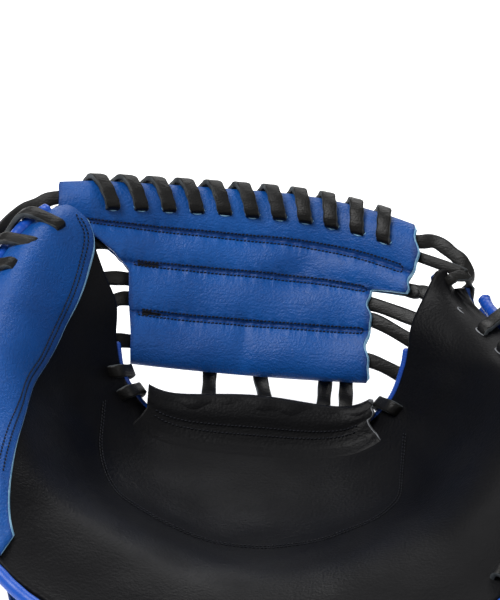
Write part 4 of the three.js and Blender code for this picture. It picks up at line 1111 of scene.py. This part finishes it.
def fold():
    ends = np.array(ROLL_ENDS) * HALF_NOTCH
    rings = []
    for u in np.linspace(0, 1, 130):
        line = fold_line(mix(*ends, u))
        line = line + np.outer(frayed(u, np.linspace(1.6, 3.4, len(line))), (1, 0, 0))
        under = line - ROLL_OUT * 1.3 * np.linspace(1, 0.6, len(line))[:, None]
        under = under + ((1.2 if u == 1 else 0), 0, 0)
        rings.append(np.concatenate([line, under[::-1]]))
    count = len(rings[0])
    faces = ring_faces(len(rings), count, cap=False)
    caps = []
    for base in (0, (len(rings) - 1) * count):
        for j in range(count // 2 - 1):
            quad = (base + j, base + j + 1, base + count - 2 - j, base + count - 1 - j)
            caps.append(quad if base == 0 else tuple(reversed(quad)))
    points = np.concatenate(rings)
    slots = [0] * (len(faces) + len(caps) // 2) + [1] * (len(caps) // 2)
    finish_piece("palm_fold", points, outward(points, faces + caps), [BLACK, BLACK_EDGE], slots)


fold()

# %% Upright laces
UPRIGHTS = (("crotch_lace_1", -0.143, -0.15, 0.6), ("crotch_lace_2", 0.027, -0.035, 0.68),
            ("crotch_lace_3", 0.195, 0.2, 0.6), ("crotch_lace_4", 0.26, 0.255, 0.66))
for name, foot, head, top in UPRIGHTS:
    seat = roll_seat(foot * NOTCH_WIDTH)
    low = seat - ROLL_OUT * (ROLL_HALF + REACH + 0.4)
    route = [low - ROLL_UP * EDGE_PAD, low + ROLL_UP * ROLL_HEIGHT * 0.8]
    for i, h in enumerate((0, 0.14, 0.28, 0.41, 0.54, top)):
        x = mix(foot, head, min(1, (i + 1) / 3)) * NOTCH_WIDTH
        route.append(web_point(x, h * WEB_HEIGHT, -WEB_FULL - REACH - 0.3))
    lace("lace_" + name, route, [np.array([1.0, 0, 0])] * len(route), replaces=name, seed=foot * 20)
print("roll and uprights made")

# %% [markdown]
# ## The wrist strap
# On the back a black strap bridges the wrist opening. The photograph does not show it, so it is plain: one
# band of leather with a row of stitches along each edge.

# %% Strap
def strap_point(u, t, drop):
    x = mix(-STRAP_LENGTH / 2, STRAP_LENGTH / 2, u)
    taper = 1 - 0.25 * ease((abs(x) / (STRAP_LENGTH / 2) - 0.8) / 0.2)
    y = STRAP_PLACE + (t - 0.5) * STRAP_WIDTH * taper
    return stack(x, y, np.maximum(back_height(x, y) - 1.1, STRAP_THICK + 0.5) - drop)


def strap():
    t_places = np.linspace(0, 1, 13)
    rings = []
    for u in np.linspace(0, 1, 81):
        top, low = strap_point(u, t_places, 0.0), strap_point(u, t_places, STRAP_THICK)
        rings.append(np.concatenate([top, (top[-1:] + low[-1:]) / 2 + (0, 0.5, 0), low[::-1],
                                     (top[:1] + low[:1]) / 2 - (0, 0.5, 0)]))
    points = np.concatenate(rings)
    faces = outward(points, ring_faces(len(rings), len(rings[0])))
    return finish_piece("wrist_strap_leather", points, faces, [BLACK], np.zeros(len(faces)),
                        replaces=["wrist_strap"])


strap()

# %% [markdown]
# ## Stitches
# A machine stitch is a short bead of thread that dives into the leather at both ends. One bead is modelled
# and repeated along a path on the surface, each turned a little, and one mesh holds a whole seam.

# %% Stitch helper
def stitch_row(name, path, normals, pitch=1.7, length=1.4, thread=0.32, sink=0.08, material=THREAD):
    path, normals = np.asarray(path, float), unit(np.asarray(normals, float))
    run = np.concatenate([[0], np.cumsum(np.linalg.norm(np.diff(path, axis=0), axis=1))])
    at = lambda s, table: np.stack([np.interp(s, run, table[:, c]) for c in range(3)], -1)
    starts = np.arange(pitch / 2, run[-1] - pitch / 2, pitch)
    sides, beads = 6, (-0.5, -0.38, -0.15, 0.15, 0.38, 0.5)
    widths, lifts = (0.35, 0.85, 1, 1, 0.85, 0.35), (-0.9, 0.1, 0.55, 0.55, 0.1, -0.9)
    points, faces = [], []
    for i, s in enumerate(starts):
        here, normal = at(s, path), unit(at(s, normals))
        ahead = unit(at(s + 0.4, path) - at(s - 0.4, path))
        side = np.cross(normal, ahead)
        skew = 0.16 + 0.05 * math.sin(i * 2.7)
        first = len(points)
        for share, wide, lift in zip(beads, widths, lifts):
            centre = here + (ahead + side * skew) * share * length + normal * (lift * thread + sink)
            for j in range(sides):
                a = 2 * math.pi * j / sides
                points.append(centre + (side * math.cos(a) + normal * math.sin(a)) * thread * wide)
        faces += ring_faces(len(beads), sides, start=first)
    faces = outward(points[:len(beads) * sides], ring_faces(len(beads), sides)) == ring_faces(len(beads), sides) \
        and faces or [tuple(reversed(f)) for f in faces]
    return finish_piece(name, points, faces, [material], np.zeros(len(faces)))


# %% Seams in the web
def web_seam(name, share, left, right, gap_left, gap_right):
    """A double row that closes in a narrow turn at both ends."""
    u = np.linspace(0, 1, 120)
    x = mix(left, right, u) * NOTCH_WIDTH
    gap = mix(gap_left, gap_right, u) / 2
    rows = [np.stack([x, share * WEB_HEIGHT + gap], -1)]
    turn = np.linspace(math.pi / 2, -math.pi / 2, 9)[1:-1]
    for end, sign in ((-1, 1), (0, -1)):
        arc = np.stack([x[end] + sign * gap[end] * np.cos(turn), share * WEB_HEIGHT + sign * gap[end] * np.sin(turn)], -1)
        rows.append(arc)
        if end == -1:
            rows.append(np.stack([x, share * WEB_HEIGHT - gap], -1)[::-1])
    flat = np.concatenate(rows)
    half = web_fullness(flat[:, 1] / WEB_HEIGHT) * WEB_FULL
    bump = web_puckers(flat[:, 0], flat[:, 1]) * np.clip(half / 2, 0, 1)
    path = web_point(flat[:, 0], flat[:, 1], half + bump)
    stitch_row(name, path, np.tile(WEB_OUT, (len(path), 1)))
    back = web_point(flat[:, 0], flat[:, 1], -half + bump * 0.4)
    stitch_row(name + "_back", back, np.tile(-WEB_OUT, (len(back), 1)))


web_seam("stitches_web_upper", SEAMS[2], -0.575, 0.385, 1.8, 3.6)
web_seam("stitches_web_middle", SEAMS[1], -0.385, 0.285, 2.2, 2.9)
web_seam("stitches_web_lower", SEAMS[0], -0.36, 0.285, 2.8, 2.6)

# %% Close stitches at the left ends of two seams
BARTACKS = (("middle", SEAMS[1], -0.383, ((-0.55, 10), (0, 11), (0.55, 10))),
            ("lower", SEAMS[0], -0.358, ((-0.8, 4), (-0.4, 9), (0, 12), (0.4, 9), (0.8, 4))))
for place, share, start, rows in BARTACKS:
    for index, (shift, length) in enumerate(rows):
        x = np.linspace(start * NOTCH_WIDTH + 0.4 * abs(shift), start * NOTCH_WIDTH + length, 40)
        height = share * WEB_HEIGHT + shift + 0 * x
        half = web_fullness(height / WEB_HEIGHT) * WEB_FULL
        path = web_point(x, height, half + web_puckers(x, height) * np.clip(half / 2, 0, 1))
        stitch_row("bartack_%s_%d" % (place, index + 1), path, np.tile(WEB_OUT, (40, 1)),
                   pitch=0.95, length=1.3, thread=0.3, sink=0.12)

# %% Seams in the palm, the panel and the roll
PANEL_FINE = np.linspace(0.06, 5.78, 400)
PANEL_LINE = panel_point(PANEL_FINE, 0 * PANEL_FINE, PANEL + 0.5)


def panel_inset(k, inset):
    """The share of the panel's width that lies a true distance from its inner edge."""
    tries = np.linspace(0, 0.9, 90)
    places = panel_point(k, tries, PANEL + 0.5)
    distance = np.linalg.norm(places[:, None] - PANEL_LINE[None], axis=2).min(axis=1)
    return np.interp(inset, np.maximum.accumulate(distance), tries)


for index, inset in enumerate((3.4, 5.8)):
    k = np.linspace(0.5, 5.4, 260)
    t = np.array([panel_inset(one, inset) for one in k])
    path = panel_point(k, t, PANEL + 0.5)
    stitch_row("stitches_panel_%d" % (index + 1), path, normal_of(face_point, k, mix(panel_from(k), 1, t)))

# rows of section and share: the horseshoe seam round the pocket's padding
HORSESHOE = np.array([(5.0, 0.14), (5.26, 0.2), (5.48, 0.26), (5.7, 0.31), (5.98, 0.37), (6.18, 0.41), (6.6, 0.45),
                      (7, 0.46), (7.4, 0.45), (7.82, 0.41), (8.05, 0.37), (8.24, 0.33), (8.44, 0.26), (8.64, 0.2),
                      (8.9, 0.14)])
for index, shift in enumerate((0, 0.014)):
    route = spline(HORSESHOE, 24)
    k, v = route[:, 0], route[:, 1] + shift
    stitch_row("stitches_pocket_%d" % (index + 1), soft_face(k, v), normal_of(face_point, k, v),
               sink=0.15)
for index, row in enumerate((16, 21)):
    x = np.linspace(ROLL_ENDS[0] + 0.05, ROLL_ENDS[1] - 0.06, 140) * HALF_NOTCH
    path = np.array([fold_line(one)[row] for one in x])
    stitch_row("stitches_roll_%d" % (index + 1), path, np.tile(ROLL_OUT, (140, 1)), sink=0.1)
for index, t in enumerate((0.12, 0.88)):
    u = np.linspace(0.03, 0.97, 200)
    path = np.stack([strap_point(a, t, STRAP_THICK) for a in u])
    stitch_row("stitches_strap_%d" % (index + 1), path, np.tile((0.0, 0, -1), (200, 1)))
print("seams sewn")

# %% [markdown]
# ## Floor, light and camera
# The mitt was photographed on white with broad soft lights. A large pale floor, a bright even world and
# three big area lights give the same quiet shading, with one light low in front to draw the sheen on the
# leather. The camera looks along +Y from above with a long lens, tilted by a few degrees as in the photograph.

# %% Studio
def area_light(name, place, target, size, power):
    data = bpy.data.lights.new(name, "AREA")
    data.size, data.energy = size, power
    light = bpy.data.objects.new(name, data)
    light.location = place
    light.rotation_euler = (Vector(target) - Vector(place)).to_track_quat("-Z", "Y").to_euler()
    bpy.context.scene.collection.objects.link(light)


floor_mesh = bpy.data.meshes.new("floor")
floor_mesh.from_pydata([(-6, -6, 0), (6, -6, 0), (6, 6, 0), (-6, 6, 0)], [], [(0, 1, 2, 3)])
floor = bpy.data.objects.new("floor", floor_mesh)
bpy.context.scene.collection.objects.link(floor)
paper = bpy.data.materials.new("pale_paper")
paper.use_nodes = True
paper.node_tree.nodes["Principled BSDF"].inputs["Base Color"].default_value = srgb(250, 250, 250)
paper.node_tree.nodes["Principled BSDF"].inputs["Roughness"].default_value = 0.9
paper.node_tree.nodes["Principled BSDF"].inputs["Emission Color"].default_value = (1, 1, 1, 1)
paper.node_tree.nodes["Principled BSDF"].inputs["Emission Strength"].default_value = 0.5
floor_mesh.materials.append(paper)

world = bpy.data.worlds.new("studio")
bpy.context.scene.world = world
world.use_nodes = True
world.node_tree.nodes["Background"].inputs[0].default_value = (1, 1, 1, 1)
world.node_tree.nodes["Background"].inputs[1].default_value = 0.35
bpy.context.scene.view_settings.view_transform = "Standard"
TARGET = Vector((-0.0066, 0.0818, 0.0819))
area_light("key", (-0.55, -0.1, 1.1), TARGET, 0.6, 15)
area_light("fill", (0.9, -0.4, 0.8), TARGET, 0.8, 3)
area_light("back", (0.15, 1.1, 0.9), TARGET, 0.8, 9)

# %% Camera
FRAME_HEIGHT, DISTANCE = 0.264, 2.2
ELEVATION, ROLL = math.radians(35), math.radians(4.5)
sight = Vector((0, math.cos(ELEVATION), -math.sin(ELEVATION)))
camera_data = bpy.data.cameras.new("camera")
camera_data.sensor_width = 36
camera_data.lens = 36 * DISTANCE / FRAME_HEIGHT
camera = bpy.data.objects.new("camera", camera_data)
bpy.context.scene.collection.objects.link(camera)
camera.rotation_mode = "QUATERNION"
camera.location = TARGET - sight * DISTANCE
camera.rotation_quaternion = sight.to_track_quat("-Z", "Y") @ Matrix.Rotation(ROLL, 3, "Z").to_quaternion()
bpy.context.scene.camera = camera
print("lens:", round(camera_data.lens, 1), "mm")
